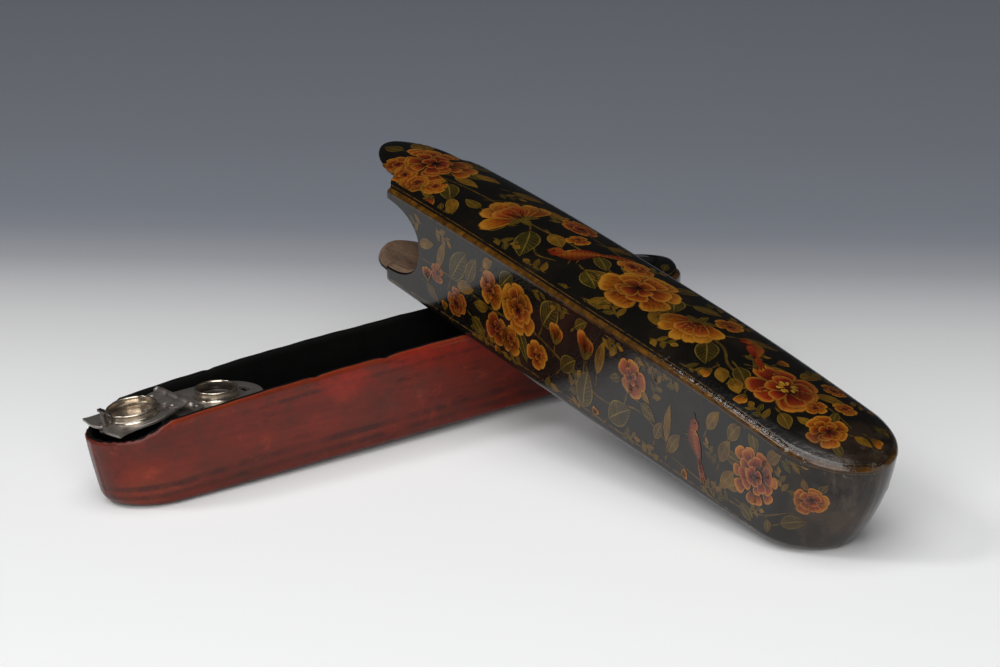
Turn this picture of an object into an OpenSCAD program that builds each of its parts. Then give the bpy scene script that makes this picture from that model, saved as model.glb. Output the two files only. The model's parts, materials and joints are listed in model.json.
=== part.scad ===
// Lacquered pen box: an outer case laid across its drawer, with a hinged-lid
// inkwell standing in the drawer's plain end.
// Closed frame: x runs from the case's closed end to the head's tip, y across, z up from the underside.
// The drawer's own frame starts end_room further along.

/* [Box form] */
// Length of the closed box, tip to tip
box_len = 238; // [210:1:270]
// Width of the case across its middle, at the top edge
case_w = 38; // [35:0.2:44]
// Height of the case side at its middle, up to the top edge
side_h = 34; // [31:0.5:40]
// Rise of the crowned top above its edges
crown_h = 4.1; // [2:0.1:6]
// Drop of the top edge at each tip
end_droop = 3.8; // [3:0.2:6]
// Length over which the top edge drops
droop_len = 98; // [70:2:110]
// Loss of half width from the middle to the tips, by the bow of the sides
side_bow = 1.2; // [0:0.1:2.4]
// Length of each rounded end in plan
end_round = 22; // [20:1:28]
// How much each side leans in at the underside
side_flare = 2.6; // [0.5:0.1:3.5]
// How far the case's closed end leans in at the underside
end_rake = 10.8; // [6:0.2:13]
// How far the drawer's plain end leans in at the underside
drawer_rake = 4.4; // [3:0.2:8]
// How far the head's end leans in at the underside
head_rake = 4; // [2:0.2:9]

/* [Walls and fits] */
// Wall of the case
case_t = 2.4; // [1.6:0.1:3]
// Clearance of the drawer in the case, each side
slide_gap = 0.6; // [0.4:0.1:1]
// Room left behind the drawer's plain end when it is pushed in
end_room = 22; // [12:1:28]
// Wall of the drawer tray
tray_t = 2.2; // [1.6:0.1:2.6]
// Glue line between the tray and the pieces glued on it
glue_gap = 0.4; // [0.35:0.05:0.5]
// Clearance between the case mouth and the head when closed
mouth_gap = 0.4; // [0.2:0.1:0.8]

/* [Wavy mouth] */
// Length of the head, from its tip to the horns of the mouth
head_len = 30; // [28:0.5:40]
// Width of the tongues on top and underside
tongue_w = 26; // [18:0.5:28]
// Reach of the tongues past the horns
tongue_len = 24.5; // [16:0.5:25]
// Reach of the tongue roots past the horns
tongue_root = 1.5; // [1:0.5:7]
// Depth of the round bite in each side
bite_depth = 19.5; // [10:0.5:22]
// Height of the bite
bite_h = 24; // [14:0.5:25]
// Drop from the top edge to the bite
bite_drop = 3.2; // [3:0.1:7]
// Thickness of the deck under the top tongue, at its edges
deck_t = 2; // [1:0.5:4]
// Depth of the break in the drawer's rim at the plain end
chip_depth = 3.2; // [0:0.2:5]
// Length of that break along each side
chip_len = 18; // [6:0.5:20]

/* [Inkwell] */
// Distance along the drawer to the lid's hinge
hinge_x = 32; // [29:0.5:44]
// Height of the inkwell, from its underside to the top of its plate
well_h = 21.6; // [21:0.1:22]
// Corner radius of the ink box
well_r = 4; // [2:0.5:6]
// Sheet thickness of the box, plate and lid
sheet_t = 0.9; // [0.6:0.1:1.1]
// Clearance of the top plate in the drawer, each side
plate_room = 0.9; // [0.6:0.1:2]
// Overhang of the top plate past the ink box, each side
plate_lip = 2; // [1:0.1:3]
// Reach of the top plate past the closed lid
plate_past = 3.4; // [2:0.2:6]
// Outside diameter of the mouth collar
collar_d = 12.8; // [11:0.2:17]
// Wall of the collar and the lid ring
ring_t = 0.6; // [0.4:0.1:0.8]
// Height of the mouth collar
collar_h = 2.8; // [2.4:0.1:3.2]
// Radial clearance of the lid ring round the collar
ring_gap = 0.6; // [0.5:0.1:0.7]
// Gap left under a piece that rests on another
seat_gap = 0.1; // [0.05:0.05:0.2]

/* [Lid and hinge] */
// How far the lid opens past level, in degrees
lid_droop = 6.5; // [0:0.5:7]
// How far the lid's sharp corners lie inside the plate's sides
lid_inset = 1.4; // [1:0.1:3.5]
// Width of the lid where it meets the hinge
lid_root_w = 15; // [13:0.5:18]
// Outside diameter of the hinge knuckles
knuckle_d = 2.6; // [2.2:0.1:2.8]
// Diameter of the hinge pin
pin_d = 1.2; // [0.8:0.1:1.4]
// Radial clearance of pins in their bores
pin_gap = 0.05; // [0.03:0.01:0.08]
// Width of the middle knuckle
mid_knuckle_w = 6; // [4:0.5:8]
// Width of each outer knuckle
side_knuckle_w = 5; // [4:0.5:6]
// Gap between knuckles
knuckle_gap = 0.25; // [0.15:0.05:0.4]
// Thickness of the hinge straps
strap_t = 0.7; // [0.5:0.1:0.8]
// Reach of each strap's middle leaf from the hinge axis
strap_len = 5.8; // [5:0.1:7]
// Gap between the straps and the lid ring
strap_room = 0.7; // [0.4:0.1:1.5]
// Diameter of the strap rivets
rivet_d = 1; // [0.8:0.1:1.2]
// Diameter of the turn catch's spindle
spindle_d = 1.6; // [1.2:0.1:1.8]
// Distance of the catch from the lid's free end
catch_in = 1.3; // [1:0.1:3]
// Gap between the turned cross bar and the ink box
bar_room = 0.3; // [0.2:0.1:1]
// Length of the catch's cross bar
bar_len = 4; // [3:0.2:4.2]
// Width of the cross bar
bar_w = 1.2; // [0.8:0.1:1.4]
// Thickness of the cross bar
bar_t = 0.7; // [0.5:0.1:1]
// Diameter of the catch's thumb knob
knob_d = 3.8; // [3.2:0.2:4]
// Height of the thumb knob
knob_h = 1.4; // [1:0.1:1.6]

/* [Laid out] */
// Distance along the drawer at which the case crosses it
cross_x = 139; // [128:1:160]
// Distance from the case's foot on the table to the crossing
cross_reach = 167; // [158:1:185]
// Angle between the drawer and the case
cross_angle = 90.5; // [80:0.5:100]
// Gap between the case's underside and the drawer's rim
rest_gap = 0.3; // [0.2:0.05:0.5]

/* [Hidden] */
$fn = 48;

// Offset from the box's outside to the drawer's outside
fit_t = case_t + slide_gap;
// The drawer is a shorter box of the same form, and its head lies end_room back in its own frame
drawer_len = box_len - end_room;
head_shift = [end_room, 0, 0];
head_t = fit_t - glue_gap;
rake_len = 2 * end_round;
// Least half width share at a tip, so that each tip ends in a narrow stem
tip_share = 0.06;
// How quickly the case's ends and the drawer's plain end draw in below the top edge
rake_power = 2;
drawer_power = 1.35;
// How quickly the crown fades towards the plain end and towards the head's end
plain_fade = 2;
head_fade = 0.6;
// How quickly the head's rows crowd towards its tip
crowd_power = 1.8;
// Power of the round outline of the tongues and bites
wave_power = 2.3;
// Length of plain side kept between the middle of the case and its bites
bite_lead = 4;
// Depth by which a cutting shape runs past the face it cuts
cut = 1;
end_steps = 7;
mid_steps = 5;
mouth_steps = 4;

// Heights in the closed frame
floor_z = fit_t + tray_t;
plate_z = floor_z + seat_gap + well_h;
collar_z = plate_z + collar_h;
// The closed lid rests on the collar, level with the hinge axis
axis_z = collar_z;
lid_in = seat_gap;
lid_top = lid_in + sheet_t;
// The lid ring lies past the straps, round the mouth, and the catch past the ink box
ring_in_r = collar_d / 2 + ring_gap;
mouth_x = strap_len + strap_room + ring_t + ring_in_r;
well_reach = mouth_x + collar_d / 2 + seat_gap + ring_t;
catch_x = well_reach + bar_room + bar_len / 2;
lid_len = catch_x + catch_in;
plate_len = lid_len + plate_past;
ring_h = collar_h - seat_gap;
bar_drop = collar_h + seat_gap + sheet_t + 3 * seat_gap;
// Room for the catch's bar in the plate's slot, both sides together
slot_room = 1;
slot_w = bar_w + slot_room;
slot_l = bar_len + slot_room;
// The ink box starts a little behind the hinge axis
well_x0 = hinge_x - sheet_t;
well_x1 = hinge_x + well_reach;
plate_x0 = hinge_x - knuckle_d;

// Box form
// Top edge's height at x of a box span long
function edge_z(x, span = box_len) = let (d = min(x, span - x))
    side_h - end_droop * pow(max(0, 1 - d / droop_len), 2);
// Share of the full width at distance d from a tip
function end_share(d, a) = d >= a ? 1 : sqrt(max(0, 1 - pow(1 - d / a, 2)));
// Half width of the form that lies off inside the outside, at distance s from its own tip
function half_w(s, off, span = box_len) = let (n = span - 2 * off, a = end_round - off, t = 2 * s / n - 1)
    (case_w / 2 - off - side_bow * t * t) * max(tip_share, end_share(s, a) * end_share(n - s, a));
// Share of the half width that is left at height share r
function flare(r) = 1 - side_flare / (case_w / 2) * (1 - r);
// Distance along the box, drawn in near both tips below the top edge
function rake_x(s, r, off, span = box_len, rake = end_rake, power = rake_power) = let (n = span - 2 * off)
    off + s + rake * pow(1 - r, power) * max(0, 1 - s / rake_len)
        - head_rake * pow(1 - r, rake_power) * max(0, 1 - (n - s) / rake_len);
// Point of the form at s, width share lat and height share r, between heights z0 and z1
function form_pt(s, lat, r, off, z0, z1) =
    [rake_x(s, r, off), lat * half_w(s, off) * flare(r), z0 + r * (z1 - z0)];
// Rise of the crown at s and lat
function crown(s, lat, off) = let (a = end_round - off, n = box_len - 2 * off)
    crown_h * pow(1 - 2 * off / case_w, 2) * pow(end_share(s, a), plain_fade)
        * pow(end_share(n - s, a), head_fade) * (1 - lat * lat);
// The plate fits the drawer's inside, and the ink box and the lid follow the plate
inner_t = fit_t + tray_t;
function inside_half(x, z) = half_w(x - inner_t, inner_t, drawer_len)
    * flare((z - floor_z) / (edge_z(x, drawer_len) - fit_t - floor_z));
plate_w = 2 * (inside_half(plate_x0, plate_z - sheet_t) - plate_room);
well_w = plate_w - 2 * plate_lip;
lid_w = plate_w - 2 * lid_inset;
// Distances from a tip that round it evenly
function end_s(i, a) = a * (1 - cos(90 * i / end_steps));

// Ring round the closed form: underside, far side, top, near side
mouth_half = half_w(box_len - head_len, 0);
tongue_share = min(0.9, tongue_w / 2 / mouth_half);
shoulder_share = (1 + tongue_share) / 2;
tongue_angles = [-90:22.5:90];
lat_list = concat([-1, -shoulder_share], [for (a = tongue_angles) tongue_share * sin(a)],
    [shoulder_share, 1]);
mouth_edge = edge_z(box_len - head_len);
bite_mid = (mouth_edge - bite_drop - bite_h / 2) / mouth_edge;
bite_share = bite_h / 2 / mouth_edge;
wall_list = [for (a = [-90:22.5:90]) bite_mid + bite_share * sin(a)];
lat_n = len(lat_list);
wall_n = len(wall_list);
ring = concat([for (l = lat_list) [l, 0]], [for (r = wall_list) [1, r]],
    [for (i = [lat_n - 1:-1:0]) [lat_list[i], 1]],
    [for (i = [wall_n - 1:-1:0]) [-1, wall_list[i]]]);
ring_n = len(ring);
// Height of a round outline at share t of its half width
function round_share(t) = t >= 1 ? 0 : pow(1 - pow(t, wave_power), 1 / wave_power);
// Reach of the wavy mouth past the horns at a ring point
function tongue_reach(share) = let (a = abs(share))
    a <= tongue_share
    ? tongue_root + (tongue_len - tongue_root) * round_share(a / tongue_share)
    : tongue_root * (1 - pow((a - tongue_share) / (1 - tongue_share), 2));
// The lower tongue is as wide as the upper one, on a narrower underside
under_share = flare(0);
function bite_reach(r) = let (t = (r - bite_mid) / bite_share)
    -bite_depth * round_share(abs(t));
function mouth_s(p) = box_len - head_len
    + (p[1] > 0 && p[1] < 1 ? bite_reach(p[1]) : tongue_reach(p[1] == 0 ? p[0] * under_share : p[0]));
function ring_pt(p, s, off) = let (z1 = edge_z(s + off) - off)
    form_pt(s, p[0], p[1], off, off, z1) + [0, 0, p[1] == 1 ? crown(s, p[0], off) : 0];

// Triangles between the rows of a grid whose first point has index base
function grid_faces(rows, cols, base, closed, flip) =
    [for (i = [0:rows - 2], j = [0:cols - (closed ? 1 : 2)])
        let (a = base + i * cols + j, b = base + i * cols + (j + 1) % cols,
            c = b + cols, d = a + cols)
        each flip ? [[a, b, c], [a, c, d]] : [[a, c, b], [a, d, c]]];
// Triangles between two rings of equal length
function strip_faces(first, second, count, closed, flip) =
    [for (j = [0:count - (closed ? 1 : 2)])
        let (k = (j + 1) % count, a = first + j, b = first + k, c = second + k, d = second + j)
        each flip ? [[a, b, c], [a, c, d]] : [[a, c, b], [a, d, c]]];
// Triangles that close the narrow stem at a tip: up from the underside's row between the two sides
function fan_faces(list, apex, flip) = [for (k = [0:len(list) - 2])
    flip ? [list[k + 1], list[k], apex] : [list[k], list[k + 1], apex]];
function ladder_faces(right, left, flip) = [for (k = [0:len(right) - 2])
    let (a = right[k], b = right[k + 1], c = left[k + 1], d = left[k])
    each flip ? [[b, a, c], [c, a, d]] : [[a, b, c], [a, c, d]]];

// Case: stations from the closed end to the mouth
case_mid_end = box_len - head_len - bite_depth - bite_lead;
function case_s(i, p, off) = let (a = end_round - off, n0 = end_steps, n1 = end_steps + mid_steps)
    i <= n0 ? end_s(i, a)
    : i <= n1 ? a + (case_mid_end - off - a) * (i - n0) / mid_steps
    : case_mid_end - off + (mouth_s(p) - case_mid_end) * (i - n1) / mouth_steps;
case_rows = end_steps + mid_steps + mouth_steps + 1;
function case_grid(off) =
    [for (i = [0:case_rows - 1], p = ring) ring_pt(p, case_s(i, p, off), off)];
case_points = concat(case_grid(0), case_grid(case_t));
case_inner = case_rows * ring_n;
top_first = lat_n + wall_n;
// Stem of a whole ring: underside, the two sides, then the top
function ring_stem(base, flip) = let (
    right = [for (k = [0:wall_n - 1]) base + lat_n + k],
    left = [for (k = [0:wall_n - 1]) base + ring_n - 1 - k],
    under = [for (k = [0:lat_n - 1]) base + k],
    over = [for (k = [0:lat_n - 1]) base + top_first + k])
    concat(fan_faces(concat(left[0], under), right[0], flip), ladder_faces(right, left, flip),
        fan_faces(concat(over, left[wall_n - 1]), right[wall_n - 1], flip));
case_faces = concat(
    grid_faces(case_rows, ring_n, 0, true, false),
    grid_faces(case_rows, ring_n, case_inner, true, true),
    strip_faces(case_inner - ring_n, 2 * case_inner - ring_n, ring_n, true, false),
    ring_stem(0, false),
    ring_stem(case_inner, true));

// Head: the other side of the wavy mouth, on the drawer
head_rows = 12;
function head_s(i, p, off) = let (n = box_len - 2 * off, m = mouth_s(p) + mouth_gap - off,
    u = 1 - i / (head_rows - 1))
    n - (n - m) * pow(u, crowd_power);
function head_grid(off) =
    [for (i = [0:head_rows - 1], p = ring) ring_pt(p, head_s(i, p, off), off)];
head_points = concat(head_grid(0), head_grid(head_t));
head_inner = head_rows * ring_n;
head_faces = concat(
    grid_faces(head_rows, ring_n, 0, true, false),
    grid_faces(head_rows, ring_n, head_inner, true, true),
    strip_faces(0, head_inner, ring_n, true, true),
    ring_stem(head_inner - ring_n, true),
    ring_stem(2 * head_inner - ring_n, false));

// Tray: open boat from tip to tip
tray_lats = [-0.75:0.25:0.75];
tray_row = concat([for (r = [1:-0.2:0.1]) [-1, r]], [[-1, 0]], [for (l = tray_lats) [l, 0]],
    [[1, 0]], [for (r = [0.2:0.2:1.01]) [1, r]]);
tray_cols = len(tray_row);
tray_mid_steps = 10;
tray_rows = 2 * end_steps + tray_mid_steps + 1;
// Break in the rim, which slopes out over the second half of its length
function chip(s) = chip_depth * min(1, max(0, 2 * (1 - s / chip_len)));
function tray_s(i, off) = let (n = drawer_len - 2 * off, a = end_round - off, k = tray_rows - 1)
    i <= end_steps ? end_s(i, a)
    : i >= k - end_steps ? n - end_s(k - i, a)
    : a + (n - 2 * a) * (i - end_steps) / tray_mid_steps;
function rim_z(x) = edge_z(x, drawer_len) - fit_t - chip(x - fit_t);
function tray_pt(s, p, off, z0) = let (x = s + off, full = edge_z(x, drawer_len) - fit_t,
    r = p[1] * (rim_z(x) - z0) / (full - z0))
    [rake_x(s, r, off, drawer_len, drawer_rake, drawer_power),
        p[0] * half_w(s, off, drawer_len) * flare(r), z0 + r * (full - z0)];
function tray_grid(off, z0) =
    [for (i = [0:tray_rows - 1], p = tray_row) tray_pt(tray_s(i, off), p, off, z0)];
tray_points = concat(tray_grid(fit_t, fit_t), tray_grid(inner_t, floor_z));
tray_inner = tray_rows * tray_cols;
function rim_strip(col, flip) = [for (i = [0:tray_rows - 2])
    let (a = i * tray_cols + col, b = a + tray_cols, c = b + tray_inner, d = a + tray_inner)
    each flip ? [[a, b, c], [a, c, d]] : [[a, c, b], [a, d, c]]];
// Stem of a tray row: the underside, then the two sides up to the rim
tray_side_steps = 5;
function tray_stem(base, flip) = let (
    right = [for (k = [0:tray_side_steps - 1]) base + tray_cols - tray_side_steps + k],
    left = [for (k = [0:tray_side_steps - 1]) base + tray_side_steps - 1 - k],
    under = [for (k = [tray_side_steps:tray_cols - tray_side_steps - 1]) base + k])
    concat(fan_faces(concat(left[0], under), right[0], flip), ladder_faces(right, left, flip));
function rim_end(base, flip) = let (a = base, b = base + tray_cols - 1,
    c = b + tray_inner, d = a + tray_inner)
    flip ? [[a, b, c], [a, c, d]] : [[a, c, b], [a, d, c]];
last_row = (tray_rows - 1) * tray_cols;
tray_faces = concat(
    grid_faces(tray_rows, tray_cols, 0, false, false),
    grid_faces(tray_rows, tray_cols, tray_inner, false, true),
    rim_strip(0, false), rim_strip(tray_cols - 1, true),
    tray_stem(0, false), tray_stem(last_row, true),
    tray_stem(tray_inner, true), tray_stem(tray_inner + last_row, false),
    rim_end(0, true), rim_end(last_row, false));

// Deck: closes the tray's top under the head and its tongue notch
deck_off = inner_t + 2 * glue_gap;
// The deck starts just before the horns and stops just short of the tray's tip
deck_lead = 1;
deck_stop = 1.2;
deck_x0 = box_len - head_len - deck_lead;
deck_rows = 9;
deck_lats = [for (i = [0:10]) -1 + 0.2 * i];
deck_cols = len(deck_lats);
function deck_s(i) = let (n = box_len - 2 * deck_off, u = 1 - i / (deck_rows - 1))
    n - deck_stop - (n - deck_stop + deck_off - deck_x0) * u * u;
function deck_pt(i, lat, top) = let (s = deck_s(i), x = s + deck_off, z = edge_z(x) - fit_t)
    [x, lat * half_w(s, deck_off) * flare(1 - deck_t / (z - fit_t)),
        top ? z + crown(s, lat, deck_off) - glue_gap : z - deck_t];
deck_points = concat([for (i = [0:deck_rows - 1], l = deck_lats) deck_pt(i, l, true)],
    [for (i = [0:deck_rows - 1], l = deck_lats) deck_pt(i, l, false)]);
deck_base = deck_rows * deck_cols;
function deck_side(col, flip) = [for (i = [0:deck_rows - 2])
    let (a = i * deck_cols + col, b = a + deck_cols, c = b + deck_base, d = a + deck_base)
    each flip ? [[a, b, c], [a, c, d]] : [[a, c, b], [a, d, c]]];
deck_faces = concat(
    grid_faces(deck_rows, deck_cols, 0, false, true),
    grid_faces(deck_rows, deck_cols, deck_base, false, false),
    deck_side(0, true), deck_side(deck_cols - 1, false),
    strip_faces(0, deck_base, deck_cols, false, false),
    strip_faces(deck_base - deck_cols, 2 * deck_base - deck_cols, deck_cols, false, true));

// Laid out on the table: the drawer stands on its plain end's underside and the head's inner edge
stand_x0 = rake_x(0, 0, fit_t, drawer_len, drawer_rake, drawer_power);
stand_x1 = rake_x(box_len - head_len + mouth_gap, 0, 0) - end_room;
drawer_tilt = atan(fit_t / (stand_x1 - stand_x0));
function turn_y(p, a) = [p[0] * cos(a) - p[2] * sin(a), p[1], p[0] * sin(a) + p[2] * cos(a)];
function turn_z(p, a) = [p[0] * cos(a) - p[1] * sin(a), p[0] * sin(a) + p[1] * cos(a), p[2]];
stand_pt = [stand_x0, 0, fit_t];
function lay_drawer(p) = turn_y(p - stand_pt, drawer_tilt) + [stand_x0, 0, 0];
// The case leans from its foot on the table to the drawer's rim
foot = [cross_x, 0, 0] - cross_reach * [cos(cross_angle), sin(cross_angle), 0];
rim_samples = [for (share = [-0.6:0.025:0.6], lat = [-1, 1]) let (x = cross_x + share * case_w)
    lay_drawer([x, lat * half_w(x - fit_t, fit_t, drawer_len), rim_z(x)])];
lean = atan(max([for (p = rim_samples) let (q = turn_z(p - foot, -cross_angle))
    if (abs(q[1]) < case_w / 2) (q[2] + rest_gap) / q[0]]));
function lay_case(p) = turn_z(turn_y(p - [end_rake, 0, 0], lean), cross_angle) + foot;
// The origin is under the middle of the laid-out box
laid_points = concat([for (p = case_points) lay_case(p)], [for (p = head_points) lay_drawer(p - head_shift)],
    [for (p = tray_points) lay_drawer(p)]);
laid_x = [for (p = laid_points) p[0]];
laid_y = [for (p = laid_points) p[1]];
centre = [(min(laid_x) + max(laid_x)) / 2, (min(laid_y) + max(laid_y)) / 2, 0];

module laid_drawer() {
    translate([stand_x0, 0, 0] - centre) rotate([0, -drawer_tilt, 0]) translate(-stand_pt) children();
}
module laid_case() {
    translate(foot - centre) rotate([0, -lean, cross_angle]) translate([-end_rake, 0, 0]) children();
}
// The lid is drawn closed round the hinge axis, and lies open, a little past level
module open_lid() {
    laid_drawer() translate([hinge_x, 0, axis_z]) rotate([0, 180 - lid_droop, 0]) children();
}

module drawer_tray() {
    color("firebrick") laid_drawer() polyhedron(tray_points, tray_faces, convexity = 6);
}
module drawer_head() {
    color([0.08, 0.07, 0.06]) laid_drawer() translate(-head_shift) polyhedron(head_points, head_faces, convexity = 6);
}
module head_deck() {
    color([0.1, 0.08, 0.07]) laid_drawer() translate(-head_shift) polyhedron(deck_points, deck_faces, convexity = 4);
}
module case_sleeve() {
    color([0.1, 0.09, 0.07]) laid_case() polyhedron(case_points, case_faces, convexity = 6);
}

// Outline of the ink box, drawn in by inset
module well_outline(inset) {
    r = well_r - inset;
    x0 = well_x0 + inset;
    x1 = well_x1 - inset;
    w = well_w / 2 - inset;
    translate([x0 + r, -w]) square([x1 - x0 - 2 * r, 2 * w]);
    translate([x0, -w + r]) square([x1 - x0, 2 * w - 2 * r]);
    for (x = [x0 + r, x1 - r], y = [-w + r, w - r]) translate([x, y]) circle(r);
}
module inkwell_wall() {
    color("gray") laid_drawer() translate([0, 0, floor_z + seat_gap + sheet_t])
        linear_extrude(well_h - 2 * sheet_t) difference() {
            well_outline(0);
            well_outline(sheet_t);
        }
}
module inkwell_floor() {
    color("dimgray") laid_drawer() translate([0, 0, floor_z + seat_gap])
        linear_extrude(sheet_t) well_outline(0);
}
// Rivet places on a strap, seen from the hinge axis
rivet_x = knuckle_d / 4 + strap_len / 2 + rivet_d / 2;
rivet_y = (mid_knuckle_w + side_knuckle_w) / 2 + knuckle_gap;
module rivet_holes(h) {
    for (y = [-rivet_y, rivet_y]) translate([rivet_x, y, -h]) cylinder(2 * h, d = rivet_d + 2 * pin_gap);
}
module inkwell_top_plate() {
    round_r = plate_w / 2;
    color("silver") laid_drawer() translate([0, 0, plate_z - sheet_t]) difference() {
        linear_extrude(sheet_t) difference() {
            union() {
                translate([plate_x0, -round_r])
                    square([hinge_x + plate_len - round_r - plate_x0, plate_w]);
                translate([hinge_x + plate_len - round_r, 0]) circle(round_r);
            }
            translate([hinge_x + mouth_x, 0]) circle(d = collar_d - 2 * ring_t);
            translate([hinge_x + catch_x - slot_w / 2, -slot_l / 2]) square([slot_w, slot_l]);
        }
        translate([hinge_x, 0, 0]) rivet_holes(2 * sheet_t);
    }
}
module mouth_collar() {
    color("gainsboro") laid_drawer() translate([hinge_x + mouth_x, 0, plate_z]) difference() {
        cylinder(collar_h, d = collar_d);
        translate([0, 0, -cut]) cylinder(collar_h + 2 * cut, d = collar_d - 2 * ring_t);
    }
}
// Strap outline: a bar along the hinge and three round leaves
strap_w = mid_knuckle_w + 2 * side_knuckle_w + 2 * knuckle_gap;
module strap_outline(inner) {
    leaf_r = strap_w / 6;
    translate([inner, -strap_w / 2]) square([strap_len - leaf_r - inner, strap_w]);
    intersection() {
        for (i = [-1:1]) translate([strap_len - leaf_r, i * 2 * leaf_r]) circle(leaf_r);
        translate([inner, -strap_w / 2]) square([strap_len - inner, strap_w]);
    }
}
module knuckle(y0, w) {
    translate([0, y0 + w, 0]) rotate([90, 0, 0]) cylinder(w, d = knuckle_d);
}
module pin_bore() {
    translate([0, strap_w, 0]) rotate([90, 0, 0]) cylinder(2 * strap_w, d = pin_d + 2 * pin_gap);
}
strap_inner = knuckle_d / 2 + knuckle_gap;
module hinge_strap_fixed() {
    drop = axis_z - plate_z;
    color("silver") laid_drawer() translate([hinge_x, 0, axis_z]) difference() {
        union() {
            translate([0, 0, -drop]) linear_extrude(strap_t) strap_outline(strap_inner);
            translate([0, -mid_knuckle_w / 2, -drop])
                cube([strap_inner + strap_t, mid_knuckle_w, strap_t]);
            translate([-knuckle_d / 4, -mid_knuckle_w / 2, -drop])
                cube([knuckle_d / 2, mid_knuckle_w, drop]);
            knuckle(-mid_knuckle_w / 2, mid_knuckle_w);
        }
        pin_bore();
        translate([0, 0, -drop]) rivet_holes(2 * strap_t);
    }
}
// The lid's strap lies on its inner face
lid_strap_z = lid_in - strap_t;
module hinge_strap_lid() {
    y1 = mid_knuckle_w / 2 + knuckle_gap;
    color("silver") open_lid() difference() {
        union() {
            translate([0, 0, lid_strap_z]) linear_extrude(strap_t) strap_outline(strap_inner);
            for (y = [-y1 - side_knuckle_w, y1]) {
                translate([0, y, lid_strap_z]) cube([strap_inner + strap_t, side_knuckle_w, strap_t]);
                knuckle(y, side_knuckle_w);
            }
        }
        pin_bore();
        translate([0, 0, lid_strap_z]) rivet_holes(2 * strap_t);
    }
}
module rivets() {
    shank = strap_t + sheet_t;
    for (y = [-rivet_y, rivet_y]) translate([rivet_x, y, 0]) {
        translate([0, 0, -shank]) cylinder(shank, d = rivet_d);
        intersection() {
            translate([0, 0, -rivet_d / 2]) sphere(rivet_d);
            cylinder(rivet_d, r = rivet_d);
        }
    }
}
module strap_rivets_fixed() {
    color("darkgray") laid_drawer() translate([hinge_x, 0, plate_z + strap_t]) rivets();
}
module strap_rivets_lid() {
    color("darkgray") open_lid() translate([0, 0, lid_strap_z]) mirror([0, 0, 1]) rivets();
}
module hinge_pin() {
    half_pin = strap_w / 2 + knuckle_gap;
    color("gainsboro") laid_drawer() translate([hinge_x, 0, axis_z]) {
        translate([0, half_pin, 0]) rotate([90, 0, 0]) cylinder(2 * half_pin, d = pin_d);
        for (y = [-1, 1]) translate([0, y * (half_pin + pin_d * 0.9), 0]) sphere(pin_d);
    }
}
// Lid outline: sharp corners at the free end, a notch between two lobes, narrower at the hinge
lid_x0 = strap_inner + strap_t + pin_gap;
module lid_plate() {
    waist_x = lid_len * 0.55;
    waist_y = lid_w / 2 - strap_t;
    lobe_r = lid_w / 8;
    edge_x = lid_len - lobe_r * 0.7;
    color("silver") open_lid() translate([0, 0, lid_in]) difference() {
        linear_extrude(sheet_t) difference() {
            union() {
                polygon([[lid_x0, -lid_root_w / 2], [waist_x, -waist_y], [lid_len, -lid_w / 2],
                    [edge_x, -lid_w / 4], [edge_x, lid_w / 4],
                    [lid_len, lid_w / 2], [waist_x, waist_y], [lid_x0, lid_root_w / 2]]);
                for (y = [-1, 1]) translate([lid_len - lobe_r, y * lobe_r * 1.1]) circle(lobe_r);
            }
            translate([lid_len - lobe_r * 0.3, -lobe_r / 3]) square([lobe_r, lobe_r * 2 / 3]);
        }
        translate([catch_x, 0, -cut]) cylinder(sheet_t + 2 * cut, d = spindle_d + 2 * pin_gap);
        rivet_holes(2 * sheet_t);
    }
}
module lid_ring() {
    color("gainsboro") open_lid() translate([mouth_x, 0, lid_in - ring_h]) difference() {
        cylinder(ring_h, r = ring_in_r + ring_t);
        translate([0, 0, -cut]) cylinder(ring_h + 2 * cut, r = ring_in_r);
    }
}
// Turn catch: a spindle through the lid, with a cross bar that turns under the plate
module catch_spindle() {
    color("gainsboro") open_lid() translate([catch_x, 0, 0]) {
        translate([0, 0, lid_in - bar_drop - bar_t])
            cylinder(bar_drop + bar_t + sheet_t + knob_h, d = spindle_d);
        translate([-bar_w / 2, -bar_len / 2, lid_in - bar_drop - bar_t])
            cube([bar_w, bar_len, bar_t]);
        translate([0, 0, lid_in - seat_gap - bar_t]) cylinder(bar_t, d = spindle_d * 1.4);
    }
}
module catch_knob() {
    color("silver") open_lid() translate([catch_x, 0, lid_top + seat_gap]) difference() {
        union() {
            cylinder(knob_h / 2, d = knob_d);
            translate([-bar_w / 2, -knob_d / 2, 0]) cube([bar_w, knob_d, knob_h]);
            cylinder(knob_h, d = knob_d * 0.6);
        }
        translate([0, 0, -cut]) cylinder(knob_h + 2 * cut, d = spindle_d);
    }
}

drawer_tray();
drawer_head();
head_deck();
case_sleeve();
inkwell_wall();
inkwell_floor();
inkwell_top_plate();
mouth_collar();
hinge_strap_fixed();
strap_rivets_fixed();
hinge_pin();
lid_plate();
lid_ring();
hinge_strap_lid();
strap_rivets_lid();
catch_spindle();
catch_knob();
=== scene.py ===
# Lacquered pen box laid open: a painted case across its red drawer, with a hinged inkwell
import json
import math
import bpy
import bmesh
import numpy as np
from mathutils import Matrix, Vector


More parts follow.
